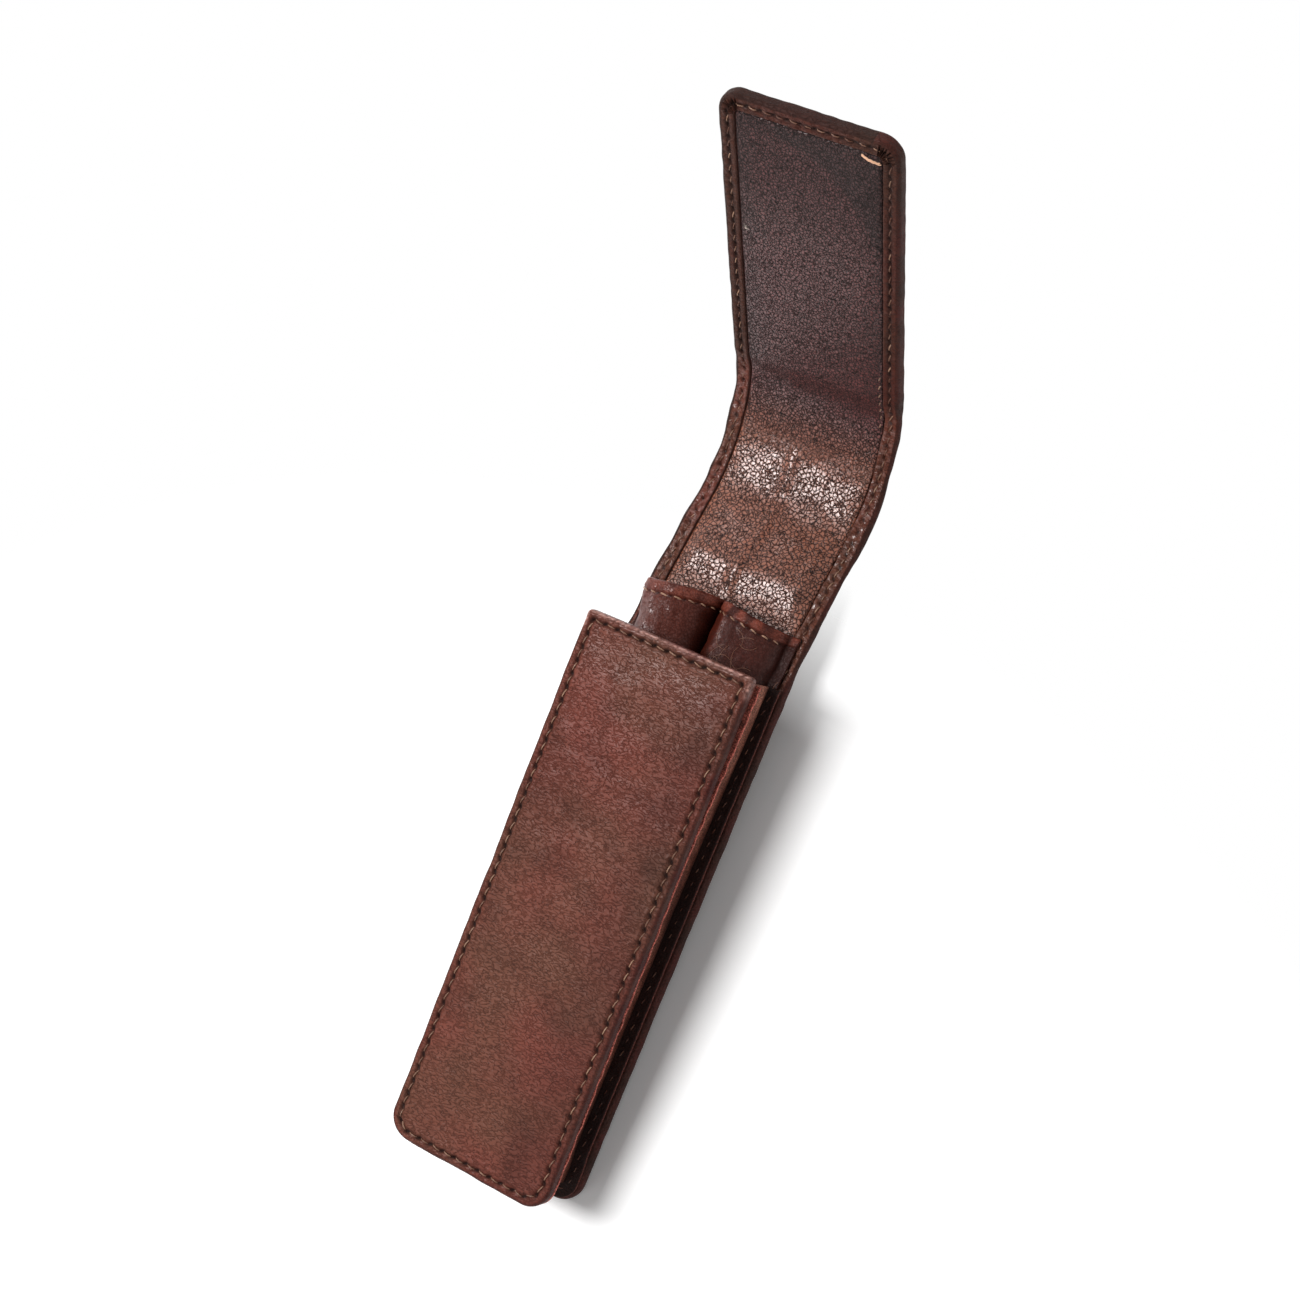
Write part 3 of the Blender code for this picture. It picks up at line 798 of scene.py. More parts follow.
def tray_section(face, hem):
    """Columns of inset, height, share that rides on the board, and outward direction (aside,
    up), from the middle of the outer face over the edge and the hem and back inside."""
    turn = np.linspace(0.0, math.pi / 2, 7)[1:-1]
    arc = list(zip(np.sin(turn), np.cos(turn)))
    rows = [(inset, 0.0, 0, 0.0, -1.0) for inset in face]
    rows += [(EDGE * (1 - sin), EDGE * (1 - cos), 0, sin, -cos) for sin, cos in arc]
    rows += [(0.0, EDGE, 0, 1.0, 0.0)]
    rows += [(0.0, STACK / 2, 0.5, 1.0, 0.0)]
    rows += [(0.0, STACK - EDGE, 1, 1.0, 0.0)]
    rows += [(EDGE * (1 - cos), STACK - EDGE * (1 - sin), 1, cos, sin) for sin, cos in arc]
    rows += [(inset, STACK, 1, 0.0, 1.0) for inset in hem]

    # The hem's cut edge, a little rounded, and then back inside, under the hem
    rows += [(HEM - 0.12 * MM, STACK - 0.02 * MM, 1, -0.4, 0.9)]
    rows += [(HEM, STACK - 0.25 * MM, 1, -1.0, 0.0)]
    rows += [(HEM, LINING_LOW, 1, 0.0, 0.0), (COVER, LINING_LOW, 1, 0.0, 0.0)]
    rows += [(COVER, COVER, 0, 0.0, 0.0), (HALF, COVER, 0, 0.0, 0.0)]
    return [np.array(column)[:, None] for column in zip(*rows)]


def face_insets(seam, rows, step):
    """Insets from the middle to the edge: wide steps first, then small ones round the seam."""
    wide = seam + 2 * MM
    far = HALF - (HALF - wide) * np.linspace(0.0, 1.0, rows) ** 0.75
    return np.concatenate([far, np.arange(wide - step, EDGE - 0.01 * MM, -step)])


def hem_insets(step):
    """Insets over the hem, from the end of the rounded edge to just before the raw edge."""
    return np.arange(EDGE, HEM - 0.2 * MM, step)


def sides(out_side, out_up):
    """Three masks of 0 and 1: the outer face, the hem, and all that faces outwards."""
    face = (out_up < -0.99) * 1.0
    hem = (out_up > 0.99) * 1.0
    outside = (abs(out_side) + abs(out_up) > 0) * 1.0
    return face, hem, outside


def seam_swell(x, s, inset, seam):
    """Three bells across the seam: the leather sinks by 0.20 mm on it, stands up by 0.11 mm
    just inside it, and puckers by 0.05 mm between, by a cosine of the distance along the ring
    that lies nearest the seam, with PITCH as its period."""
    row = int(np.argmin(abs(inset[:FACE_RINGS, 0] - seam)))
    steps = np.hypot(np.diff(x[row]), np.diff(s[row]))
    run = np.concatenate([[0.0], np.cumsum(steps)])[None, :]
    inward = inset - seam
    pucker = np.cos(2 * math.pi * run / PITCH)
    return (
        -0.20 * MM * bump(inward, 0.42 * MM)
        + 0.11 * MM * bump(inward - 1.1 * MM, 0.7 * MM)
        + 0.05 * MM * pucker * bump(inward - 0.6 * MM, 0.8 * MM)
    )


def make_cover(name, outline, section, place, relief, finish, closed):
    """A tray: the outline is drawn in by the section's insets, and relief gives the rise of
    each point along its outward direction and the values that the material reads."""
    x, s, out_x, out_s = outline
    inset, height, lifted, out_side, out_up = section
    rise, values = relief(x, s, inset, out_side, out_up)
    values = {key: np.clip(value + 0.0 * x, 0.0, 1.0) for key, value in values.items()}
    points = place(
        x + out_x * out_side * rise, s + out_s * out_side * rise, height + out_up * rise, lifted
    )
    return add_piece(name, points, grid_faces(*x.shape, False, closed), finish, values)


# %% [markdown]
# ## The front panel's cover
#
# The largest face, and the one the eye rests on. It is stiff and nearly flat, so what gives it
# life is slight: it sinks along the seam, swells just inside it, puckers between the holes,
# and rolls over at the edge. At the mouth the leather is turned over a folded edge and stands
# a little proud, which is why a bright line runs there.


# %% Front cover
MOUTH_ROLL = FRONT_LENGTH - 6 * MM
POLISHED_FROM = 106 * MM
PALER_FROM = 112 * MM
RUBBED_X, RUBBED_S, RUBBED_WIDTH = -13 * MM, 84 * MM, 9 * MM


def front_relief(x, s, inset, out_side, out_up):
    """Seam, rolled edge, proud mouth and uneven ground on the face; only the last elsewhere."""
    face, _, outside = sides(out_side, out_up)
    holes = near_holes(x, s, front_holes) * face
    at_mouth = smooth((s - MOUTH_ROLL) / (3 * MM))
    rise = face * (
        seam_swell(x, s, inset, FRONT_SEAM)
        + 0.20 * MM * at_mouth * bump(inset - 1.0 * MM, 0.5 * MM)
        - 0.20 * MM * smooth(1 - inset / (1.4 * MM))
        - 0.50 * MM * holes
    )
    rise = rise + outside * 0.07 * MM * noise(x, s, 16 * MM, 3)
    rise = rise + outside * 0.03 * MM * noise(x, s, 5 * MM, 4)
    by_seam = bump(inset - FRONT_SEAM, 1.2 * MM)
    rise = rise + outside * 0.02 * MM * noise(x, s, 1.6 * MM, 5) * by_seam

    # Rubbed edges and one rubbed spot, and the fold at the mouth, which is rubbed pale
    spot = bump(np.hypot(x - RUBBED_X, (s - RUBBED_S) / 1.6), RUBBED_WIDTH)
    worn = bump(inset, 0.8 * MM) * (0.5 + 0.5 * noise(x, s, 9 * MM, 6)) * outside
    worn = worn + 0.4 * face * spot
    ragged = 0.6 + 0.5 * noise(x, s, 1.2 * MM, 9)
    raw = at_mouth * bump(inset - 0.35 * MM, 0.25 * MM) * ragged * outside

    # Painted shade in the seam's groove and on the side faces of the edge, and painted shade that
    # darkens the right side and fades towards the mouth, with darker patches of random tone
    shade_and_tone = 0.5 * face * bump(inset - FRONT_SEAM, 0.5 * MM)
    shade_and_tone = shade_and_tone + 0.5 * (abs(out_side) > 0.3) * (1 - at_mouth)
    right_shade_and_patches = 0.30 * smooth((x - 1 * MM) / (14 * MM)) + 0.16 * smooth(noise(x, s, 13 * MM, 8))
    right_shade_and_patches = right_shade_and_patches * (1 - 0.6 * smooth((s - PALER_FROM) / (8 * MM)))
    shade_and_tone = np.maximum(shade_and_tone, right_shade_and_patches * outside)

    # Polish on the edge of the mouth and, weakly, on the face before it
    polish = at_mouth * bump(inset - 0.3 * MM, 0.8 * MM) * (0.8 + 0.3 * noise(x, s, 3 * MM, 7))
    before = 0.12 * smooth((s - POLISHED_FROM) / (14 * MM)) * (inset > 2.6 * MM)
    polish = outside * (polish + before)
    return rise, {"hole": holes, "worn": worn, "raw": raw, "dark": shade_and_tone, "polish": polish}


front_form = {"length": FRONT_LENGTH, "round_start": FRONT_CORNER, "round_end": MOUTH_CORNER}
section = tray_section(face_insets(FRONT_SEAM, 16, 0.2 * MM), hem_insets(0.5 * MM))
ring = whole_outline(section[0][:, 0], spacing=0.3 * MM, **front_form)
front_cover = make_cover("front_panel_cover", ring, section, on_front, front_relief, cowhide, True)
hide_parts("front_cover")
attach(front_cover, "pocket")

# %% [markdown]
# ## The strap's cover
#
# Back, spine and flap are one piece of hide, and cutting it in three would show. But each end
# of it moves with another body, and a piece can only bend between two. So it is made as two
# pieces that meet in the middle of the spine, where neither fold reaches: the lower one runs
# from pocket to spine, the upper one from spine to flap. Here neither piece is handed to a
# body. Both read one pattern, so nothing shows where they meet.

# %% Strap cover
SPLIT = 161.0 * MM
BACK_FOLD_ZONE = (137.5 * MM, 154.5 * MM)
FLAP_FOLD_ZONE = (167.0 * MM, 186.0 * MM)


def strap_outline(insets, spacing, upper):
    """An open chain from the split round one end of the strap and back to the split."""
    if not upper:
        return whole_outline(insets, SPLIT, CORNER, None, spacing)
    x, s, out_x, out_s = whole_outline(insets, STRAP_END - SPLIT, CORNER, None, spacing)
    return x, STRAP_END - s, out_x, -out_s


def corner_pleats(x, s):
    """Turned leather gathers at a round corner: folds that fan out from its centre, one for
    each 12 degrees, within the corner only."""
    total = 0.0 * x
    for centre_s, side in ((CORNER, 1.0), (STRAP_END - CORNER, -1.0)):
        from_x = abs(x) - (HALF - CORNER)
        from_s = (centre_s - s) * side
        inside = smooth((from_x + 0.6 * MM) / MM) * smooth((from_s + 0.6 * MM) / MM)
        total = total + inside * np.sin(np.arctan2(from_s, from_x) * 30)
    return total


def strap_relief(x, s, inset, out_side, out_up):
    """Seams on the face and on the hem, pleats at the corners, and a wavy edge where no board
    holds the leather flat."""
    face, hem, outside = sides(out_side, out_up)
    soft = softness(s)
    holes = near_holes(x, s, strap_holes, 0.6 * MM, 0.3 * MM) * (face + hem)
    swell = seam_swell(x, s, inset, STRAP_SEAM)
    crinkle = bump(inset - STRAP_SEAM, 1.3 * MM) * noise(x, s, 2.0 * MM, 8)
    pleats = hem * corner_pleats(x, s) * smooth(inset / (1.5 * MM))
    rise = (face + hem) * (swell - 0.35 * MM * holes)
    rise = rise + hem * (0.13 + 0.10 * soft) * MM * crinkle + 0.32 * MM * pleats
    loose = 0.04 * MM + 0.16 * MM * soft
    rise = rise + outside * loose * noise(x, s, 11 * MM, 9) * bump(inset, 6 * MM)
    rise = rise + outside * 0.04 * MM * noise(x, s, 4 * MM, 10)

    # The right edge is rubbed and the hem's cut edge is a little raw. The hem is painted darker,
    # less so where the leather is soft, with painted shade along the seam and in the valleys of
    # the corner pleats; the side faces of the edge are painted dark as shade
    worn = bump(inset, 0.9 * MM) * (0.5 + 0.3 * noise(x, s, 9 * MM, 11)) * outside * (x > 15 * MM)
    raw = 0.15 * (abs(inset - HEM) < 0.15 * MM) * (out_up > -0.5)
    by_seam = bump(inset - STRAP_SEAM, 0.6 * MM)
    shade_and_tone = hem * ((1.0 - 0.75 * soft) * (0.55 + 0.3 * by_seam) + 0.5 * np.clip(-pleats, 0, 1))
    shade_and_tone = shade_and_tone + 0.85 * (abs(out_side) > 0.2) * (1 - 0.5 * worn)
    polish = hem * (0.25 + 0.75 * soft) * smooth(0.5 + noise(x, s, 1.8 * MM, 12))
    return rise, {"hole": holes, "worn": worn, "raw": raw, "dark": shade_and_tone, "polish": polish}


def bend_between(piece, low_body, high_body, zone):
    """Works out the zone's two stations on the pattern, which nothing uses, and bakes the piece's
    place into its mesh; the bend is not handed to the bodies.
    """
    start, end = (Vector(on_strap(0.0, s, STACK / 2).tolist()) for s in zone)
    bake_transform(piece)


section = tray_section(face_insets(STRAP_SEAM, 14, 0.25 * MM), hem_insets(0.2 * MM))
halves = {}
for name, upper in (("lower_strap_cover", False), ("upper_strap_cover", True)):
    chain = strap_outline(section[0][:, 0], 0.4 * MM, upper)
    halves[name] = make_cover(name, chain, section, on_strap, strap_relief, cowhide, False)
bend_between(halves["lower_strap_cover"], "pocket", "spine", BACK_FOLD_ZONE)
bend_between(halves["upper_strap_cover"], "spine", "flap", FLAP_FOLD_ZONE)
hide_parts("back_cover", "spine_cover")
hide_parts("flap_cover", "spine_cover")

# %% [markdown]
# ## The linings
#
# A softer, darker skin lines the strap and the front panel. Its edge lies beside the hem and
# is rolled down by the glue, so a dark groove runs between the two. On the boards it is flat.
# On the bend it is loose: it has been pushed up into a cushion above the sleeves, pinched
# into a ridge along the middle, and its pebbles are stretched wide open.

# %% The lining's section
LINING_EDGE = HEM + 0.1 * MM


def lining_section(rows):
    """Inset, height, share on the board and outward direction: over the top, down the rolled
    edge and back below."""
    top = HALF - (HALF - LINING_EDGE - 0.9 * MM) * np.linspace(0.0, 1.0, rows)
    levels = [(inset, STACK, 0.0, 1.0) for inset in top]
    levels += [(LINING_EDGE + 0.55 * MM, STACK - 0.05 * MM, 0.3, 0.95)]
    levels += [(LINING_EDGE + 0.25 * MM, STACK - 0.2 * MM, 0.7, 0.7)]
    levels += [(LINING_EDGE, STACK - 0.5 * MM, 1.0, 0.2), (LINING_EDGE, LINING_LOW, 0.0, 0.0)]
    levels += [(HALF, LINING_LOW, 0.0, 0.0)]
    inset, height, out_side, out_up = [np.array(column)[:, None] for column in zip(*levels)]
    return [inset, height, 1.0 + 0.0 * inset, out_side, out_up]


# %% [markdown]
# The bend's shape comes first: the cushion and a low second one, the ridge with its pinch, and
# slow waves. Then come the marks. The pebbles are stretched and shiny all round the bend, and
# painted lighter there, partly for the stretch and partly as painted light on the bright bend.
# On the flap the lining is painted darker beside the hem and towards the top, as painted shade
# where its sheen falls off, and darker past one round line; one pale speck is left.

# %% Strap lining
CUSHION_AT = 144.5 * MM
SECOND_CUSHION_AT = 168 * MM
RIDGE_X = -2.0 * MM
RIDGE_START, RIDGE_END = 135 * MM, 177 * MM
PINCH_AT = 162.5 * MM
STRETCH_START, STRETCH_END = 128 * MM, 190 * MM
SHINE_END = 179 * MM
SWEEP_X, SWEEP_S, SWEEP_RADIUS = -12 * MM, 233 * MM, 26 * MM
SPECK_X, SPECK_S = -15.4 * MM, 233 * MM


def bend_rise(x, s, inset):
    """Cushions, ridge and slow waves on the bend; a slight swell on the boards."""
    inner = smooth((inset - LINING_EDGE) / (4 * MM))
    behind = np.where(s < CUSHION_AT, 4.6 * MM, 9.5 * MM)
    cushion = 1.9 * MM * bump(s - CUSHION_AT, behind) * inner
    second = 0.35 * MM * bump(s - SECOND_CUSHION_AT, 4.0 * MM) * inner
    pinch = 1.0 - 0.8 * bump(s - PINCH_AT, 2.0 * MM)
    off = x - RIDGE_X - 0.5 * MM * np.sin(s / (6 * MM))
    along = within(s, RIDGE_START, 5 * MM, 6 * MM, RIDGE_END)
    ridge = 0.5 * MM * bump(off, 1.4 * MM) * along * pinch
    soft = softness(s)
    waves = inner * soft * 0.09 * MM * noise(x, s, 9 * MM, 21)
    ground = 0.03 * MM * noise(x, s, 12 * MM, 22) + 0.02 * MM * noise(x, s, 3 * MM, 23)
    return cushion + second + ridge + 0.12 * MM * inner * (1 - soft) + waves + ground


def lining_relief(x, s, inset, out_side, out_up):
    """The bend's rise, and the marks of stretching, shine, burnishing and one speck."""
    _, _, outside = sides(out_side, out_up)
    # The bend is painted lighter: partly the stretched leather, partly painted light on the bright
    # bend
    stretch = within(s, STRETCH_START, 8 * MM, 18 * MM, STRETCH_END)
    shiny = within(s, STRETCH_START, 6 * MM, 7 * MM, SHINE_END) * outside
    # Painted shade beside the hem and towards the top of the flap, and darker past one round line
    # near the top corner
    sweep = smooth((np.hypot(x - SWEEP_X, s - SWEEP_S) - SWEEP_RADIUS) / (3 * MM))
    sweep = sweep * smooth((s - SWEEP_S - 3 * MM) / (6 * MM)) * smooth((x + 9 * MM) / (6 * MM))
    burnish = sweep * (0.55 + 0.3 * noise(x, s, 10 * MM, 24))
    beside_hem = 1 - smooth((inset - LINING_EDGE) / (6 * MM))
    burnish = burnish + 0.45 * smooth((s - STRETCH_END) / (10 * MM)) * beside_hem
    burnish = burnish + 0.45 * smooth((s - 228 * MM) / (26 * MM))
    dull = 0.6 * smooth((s - 226 * MM) / (26 * MM))
    speck = bump(np.hypot(x - SPECK_X, s - SPECK_S), 0.35 * MM)
    marks = {
        "soft": stretch,
        "polish": shiny,
        "burnish": burnish * outside,
        "dark": dull,
        "speck": speck,
    }
    return outside * bend_rise(x, s, inset), marks


section = lining_section(34)
for name, upper in (("lower_strap_lining", False), ("upper_strap_lining", True)):
    chain = strap_outline(section[0][:, 0], 0.5 * MM, upper)
    halves[name] = make_cover(name, chain, section, on_strap, lining_relief, lining_hide, False)
bend_between(halves["lower_strap_lining"], "pocket", "spine", BACK_FOLD_ZONE)
bend_between(halves["upper_strap_lining"], "spine", "flap", FLAP_FOLD_ZONE)
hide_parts("back_lining", "spine_lining")
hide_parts("flap_lining", "spine_lining")


# %% Front lining
def plain_relief(x, s, inset, out_side, out_up):
    """A slow, slight wave, and no marks."""
    _, _, outside = sides(out_side, out_up)
    return outside * 0.05 * MM * noise(x, s, 10 * MM, 31), {}


section = lining_section(12)
ring = whole_outline(section[0][:, 0], spacing=0.8 * MM, **front_form)
front_lining = make_cover(
    "front_panel_lining", ring, section, on_front, plain_relief, lining_hide, True
)
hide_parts("front_lining")
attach(front_lining, "pocket")

# %% [markdown]
# ## The gusset
#
# One strip, folded lengthwise into a channel, runs down one side of the pocket, round the
# bottom and up the other side. Its back flange is sewn on the hem of the back, its front
# flange on the hem of the front panel, and the web between them makes the depth. The front
# flange's cut edge was left raw and shows as a pink line along the panel. At the mouth the
# web leans out, because the pocket has been pulled open there so often.

# %% The gusset's section
GUSSET_BACK_EDGE = 0.5 * MM
GUSSET_FRONT_EDGE = 0.2 * MM
GUSSET_WEB = 3.6 * MM
GUSSET_MOUTH = FRONT_LENGTH - 1.5 * MM
GUSSET_FLARE = 1.1 * MM
WEB_LEAN = 0.5 * MM
EDGE_ROUND = 0.15 * MM
FOLD_ROUND = 0.4 * MM
SLEEVE_BOTTOM = 14.0 * MM
RAMP = 6.0 * MM


def over_sleeves(s):
    """How far the back flange climbs to lie on the sleeve strip's edge."""
    return (SLEEVE + GAP) * smooth((s - SLEEVE_BOTTOM + GAP) / RAMP + 1)


def gusset_rows():
    """Columns of inset, height at its own side, share of the way to the front, flare, outward
    direction (out from the case, up from the flange) and whether it is the raw edge."""
    low, high = STACK + GAP, STACK + GAP + GUSSET
    inner = GUSSET_WEB + GUSSET
    climb = np.linspace(0.0, 1.0, 17)
    out = np.linspace(GUSSET_WEB - FOLD_ROUND, GUSSET_FRONT_EDGE + EDGE_ROUND, 9)
    rows = [(inset, high, 0.0, 0.0, 0.0, 1.0, 0) for inset in out[::-1] + 0.3 * MM]
    rows += [(GUSSET_WEB, high, t, WEB_LEAN, 1.0, 0.0, 0) for t in climb]
    rows += [(inset, high, 1.0, GUSSET_FLARE, 0.0, 1.0, 0) for inset in out]
    rows += [(GUSSET_FRONT_EDGE, high - EDGE_ROUND, 1.0, GUSSET_FLARE, 1.0, 0.5, 1)]
    rows += [(GUSSET_FRONT_EDGE, low + EDGE_ROUND, 1.0, GUSSET_FLARE, 1.0, -0.5, 1)]
    rows += [(GUSSET_FRONT_EDGE + EDGE_ROUND, low, 1.0, GUSSET_FLARE, 0.0, -1.0, 0)]
    rows += [(inner - FOLD_ROUND, low, 1.0, WEB_LEAN, 0.0, -1.0, 0)]
    rows += [(inner, low + FOLD_ROUND, 1.0 - t, WEB_LEAN, -1.0, 0.0, 0) for t in climb]
    rows += [(inner - FOLD_ROUND, low, 0.0, 0.0, 0.0, -1.0, 0)]
    rows += [(GUSSET_BACK_EDGE + EDGE_ROUND, low, 0.0, 0.0, 0.0, -1.0, 0)]
    rows += [(GUSSET_BACK_EDGE, low + EDGE_ROUND, 0.0, 0.0, 1.0, -0.5, 0.15)]
    rows += [(GUSSET_BACK_EDGE, high - EDGE_ROUND, 0.0, 0.0, 1.0, 0.5, 0.15)]
    return [np.array(column)[:, None] for column in zip(*rows)]


inset, height, climb, flare, out_side, out_up, is_raw = gusset_rows()
print("the gusset's section has", len(inset), "rows")

# %% [markdown]
# The flanges are glued and sewn, so they stay nearly flat. The web is free: it bulges where the
# pocket stands open and is creased all the way round. Each row lies a share of the way from the
# strap to the front panel, so the web grows taller towards the mouth by itself. Marks follow
# the same shares: the web is rubbed, the cut edge is pink, and the back flange is painted
# nearly black, as the shadow that the front panel casts on it.

# %% Gusset
LEAN_LENGTH = 44.0 * MM
WEB_BULGE = 1.3 * MM
WEB_HEIGHT = 18 * MM

x, s, out_x, out_s = whole_outline(inset[:, 0], GUSSET_MOUTH, CORNER, None, 0.4 * MM)
open_part = smooth((s - GUSSET_MOUTH) / LEAN_LENGTH + 1)
up_web = climb * WEB_HEIGHT
mid_web = np.sin(math.pi * climb)

creases = 0.25 * MM * noise(s, up_web, 9 * MM, 41) + 0.10 * MM * noise(s, up_web, 3 * MM, 42)
bulge = mid_web * abs(out_side) * (WEB_BULGE * open_part + creases)
edge_wave = 0.10 * MM * noise(x, s, 5 * MM, 43) * (inset < GUSSET_WEB)
out = flare * open_part + bulge + edge_wave * (climb > 0.5)
side_x, side_s = x + out_x * out, s + out_s * out
lower = on_strap(side_x, side_s, height + over_sleeves(s) + 0.05 * MM * noise(x, s, 4 * MM, 44))
upper = on_front(side_x, side_s, height + 0.05 * MM * noise(x, s, 4 * MM, 45))
points = lower + (upper - lower) * climb[..., None]

on_web = mid_web * (out_side > 0.5)
lightened = on_web * (0.42 + 0.18 * noise(s, up_web, 7 * MM, 46) + 0.5 * open_part)
near_edge = bump(inset - GUSSET_FRONT_EDGE, 0.8 * MM) * (climb > 0.99)
near_edge = near_edge * (0.5 + 0.3 * noise(x, s, 2 * MM, 47))
marks = {
    "raw": np.clip(is_raw + near_edge, 0, 1),
    "worn": np.clip(lightened, 0, 1),
    # The back flange is painted dark: painted shadow of the front panel
    "dark": 0.85 * (climb < 0.01) + 0.0 * x,
}
gusset = add_piece("pocket_gusset", points, grid_faces(*x.shape, True, False), gusset_hide, marks)
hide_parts("gusset_strip")
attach(gusset, "pocket")

# %% [markdown]
# ## The sleeves
#
# One soft strip makes both sleeves: it is sewn down along the middle and held at both sides
# by the gusset's seams. The left sleeve has kept the round form of a pen. The right one has
# hardly been used and lies flatter, steep beside the seam and gently down to its foot. Its
# top edge is turned over and sewn, so a thicker rim runs along both mouths.

# %% The sleeve strip's line
SLEEVE_HALF = HALF - 2.0 * MM
SLEEVE_FOOT = HALF - GUSSET_WEB - GUSSET - GAP
MIDDLE_FOOT = 0.6 * MM
LEFT_RISE = 11.6 * MM
RIGHT_RISE = 7.0 * MM
FOOT_POINTS = 5


def sleeve_arch(inner, outer, rise, lean):
    """One sleeve from the middle seam to its foot: x runs by (1 - cos a) / 2 to the power of
    lean, which moves the crown to the seam, and the height is rise times sin a to the 0.8, a
    little fuller than half an ellipse, with small fillets at both ends."""
    a = np.linspace(0.0, math.pi, 61)
    share = ((1 - np.cos(a)) / 2) ** lean
    fillet = smooth(np.minimum(a, math.pi - a) / 0.35)
    return inner + (outer - inner) * share, rise * np.abs(np.sin(a)) ** 0.8 * (0.3 + 0.7 * fillet)


left_x, left_h = sleeve_arch(-MIDDLE_FOOT, -SLEEVE_FOOT, LEFT_RISE, 1.0)
right_x, right_h = sleeve_arch(MIDDLE_FOOT, SLEEVE_FOOT, RIGHT_RISE, 1.5)
foot_x = np.linspace(SLEEVE_FOOT, SLEEVE_HALF, FOOT_POINTS + 1)[1:]
line_x = np.concatenate([-foot_x[::-1], left_x[::-1], right_x, foot_x])
line_h = np.concatenate([0 * foot_x, left_h[::-1], right_h, 0 * foot_x])
step_x, step_h = np.gradient(line_x), np.gradient(line_h)
step = np.hypot(step_x, step_h)
line_u = np.concatenate([[0.0], np.cumsum(np.hypot(np.diff(line_x), np.diff(line_h)))])
line_columns = (line_x, line_h, -step_h / step, step_x / step)
print(f"cut across, the sleeve strip is {line_u[-1] / MM:.1f} mm long")

# %% [markdown]
# Laid flat, the strip is one more pattern: u runs along the line above and s along the case.
# Its own function bends it, adds the slow creases of soft skin, and opens the left mouth a
# little wider, as use has left it. The strip's top is turned over into a rim, 2.4 mm wide, and
# a seam holds the rim down.

# %% Placing the sleeve strip
SLEEVE_SEAM_TOP = 135.5 * MM
RIM = 0.35 * MM
RIM_WIDTH = 2.4 * MM
RIM_PITCH = 2.7 * MM
LEFT_WIDENS = 1.6 * MM
WIDENS_FROM = 122 * MM


def sleeve_top(x, h):
    """Station of the strip's top edge: it runs back by up to 1.5 mm towards the sides, and by
    0.17 of the height over the crowns."""
    return SLEEVE_SEAM_TOP - 1.5 * MM * smooth(abs(x) / (16 * MM)) - 0.17 * h


def on_sleeve(u, s, off, lifted=1.0):
    """A point of the sleeve strip: u runs along its middle line across the case, s along the
    case, and off is square to the strip. Slow creases and the wider left mouth are added."""
    x, h, normal_x, normal_h = (np.interp(u, line_u, column) for column in line_columns)
    up = smooth(h / (2 * MM))
    crease = 0.22 * MM * noise(x, s, 8 * MM, 51) + 0.10 * MM * noise(x, 0.6 * s, 2.5 * MM, 52)
    off = off + crease * up
    widen = LEFT_WIDENS * smooth((s - WIDENS_FROM) / (8 * MM)) * smooth(-x / (14 * MM)) * up
    height = STACK + GAP + SLEEVE / 2 + h + normal_h * off
    return on_strap(x - widen + normal_x * off, s, height, lifted)


rim_u = np.arange(line_u[FOOT_POINTS], line_u[-FOOT_POINTS - 1], RIM_PITCH)
rim_x, rim_h = np.interp(rim_u, line_u, line_x), np.interp(rim_u, line_u, line_h)
rim_s = sleeve_top(rim_x, rim_h) - RIM_WIDTH
rim_step = np.stack([np.gradient(rim_u), np.gradient(rim_s)], 1)
rim_step = rim_step / np.hypot(*rim_step.T)[:, None]
rim_holes = np.concatenate([rim_u[:, None], rim_s[:, None], rim_step], 1)
print("needle holes in the rim:", len(rim_holes))

# %% [markdown]
# The surface runs over the outside of the strip and back along its inside, in rows from the
# bottom to the top edge. The rows lie close together near the mouth, where the eye looks. The
# marks follow: a red rim, painted shade in the valley by the middle seam and along the feet,
# the right sleeve darker, and a polished streak down each sleeve, kept free of the darkening.

# %% Sleeves
TOP_ROUND = 0.5 * MM
STREAKS = ((-11 * MM, 1.5 * MM), (3.4 * MM, 1.0 * MM))

coarse = np.linspace(1.0, 0.25, 28, endpoint=False)
fine = np.linspace(0.25, 0.0, 100)
round_u = np.concatenate([line_u, line_u[::-1]])[None, :]
outer_side = np.concatenate([np.ones(line_u.size), -np.ones(line_u.size)])[None, :]
mid_x, mid_h = (np.interp(round_u, line_u, column) for column in (line_x, line_h))
top_s = sleeve_top(mid_x, mid_h)
from_top = (top_s - SLEEVE_BOTTOM) * np.concatenate([coarse, fine])[:, None]
rows_s = top_s - from_top
round_u = round_u + 0.0 * rows_s

# Half the thickness: more at the rim, and less where the top edge is rounded off
rim = RIM * smooth((RIM_WIDTH - from_top) / (0.6 * MM)) * (outer_side > 0)
rounding = np.sqrt(1 - (1 - np.minimum(from_top / TOP_ROUND, 1.0)) ** 2)
half_thick = (SLEEVE / 2 + rim) * (0.35 + 0.65 * rounding)
seam_dip = -0.15 * MM * bump(from_top - RIM_WIDTH, 0.4 * MM) * (outer_side > 0)
pricked = near_holes(round_u, rows_s, rim_holes, 0.45 * MM, 0.28 * MM) * (outer_side > 0)
points = on_sleeve(round_u, rows_s, outer_side * half_thick + seam_dip - 0.2 * MM * pricked)

patchy = 0.5 + 0.5 * noise(mid_x, rows_s, 3 * MM, 53)
red_rim = smooth((RIM_WIDTH - from_top) / (0.8 * MM)) * patchy
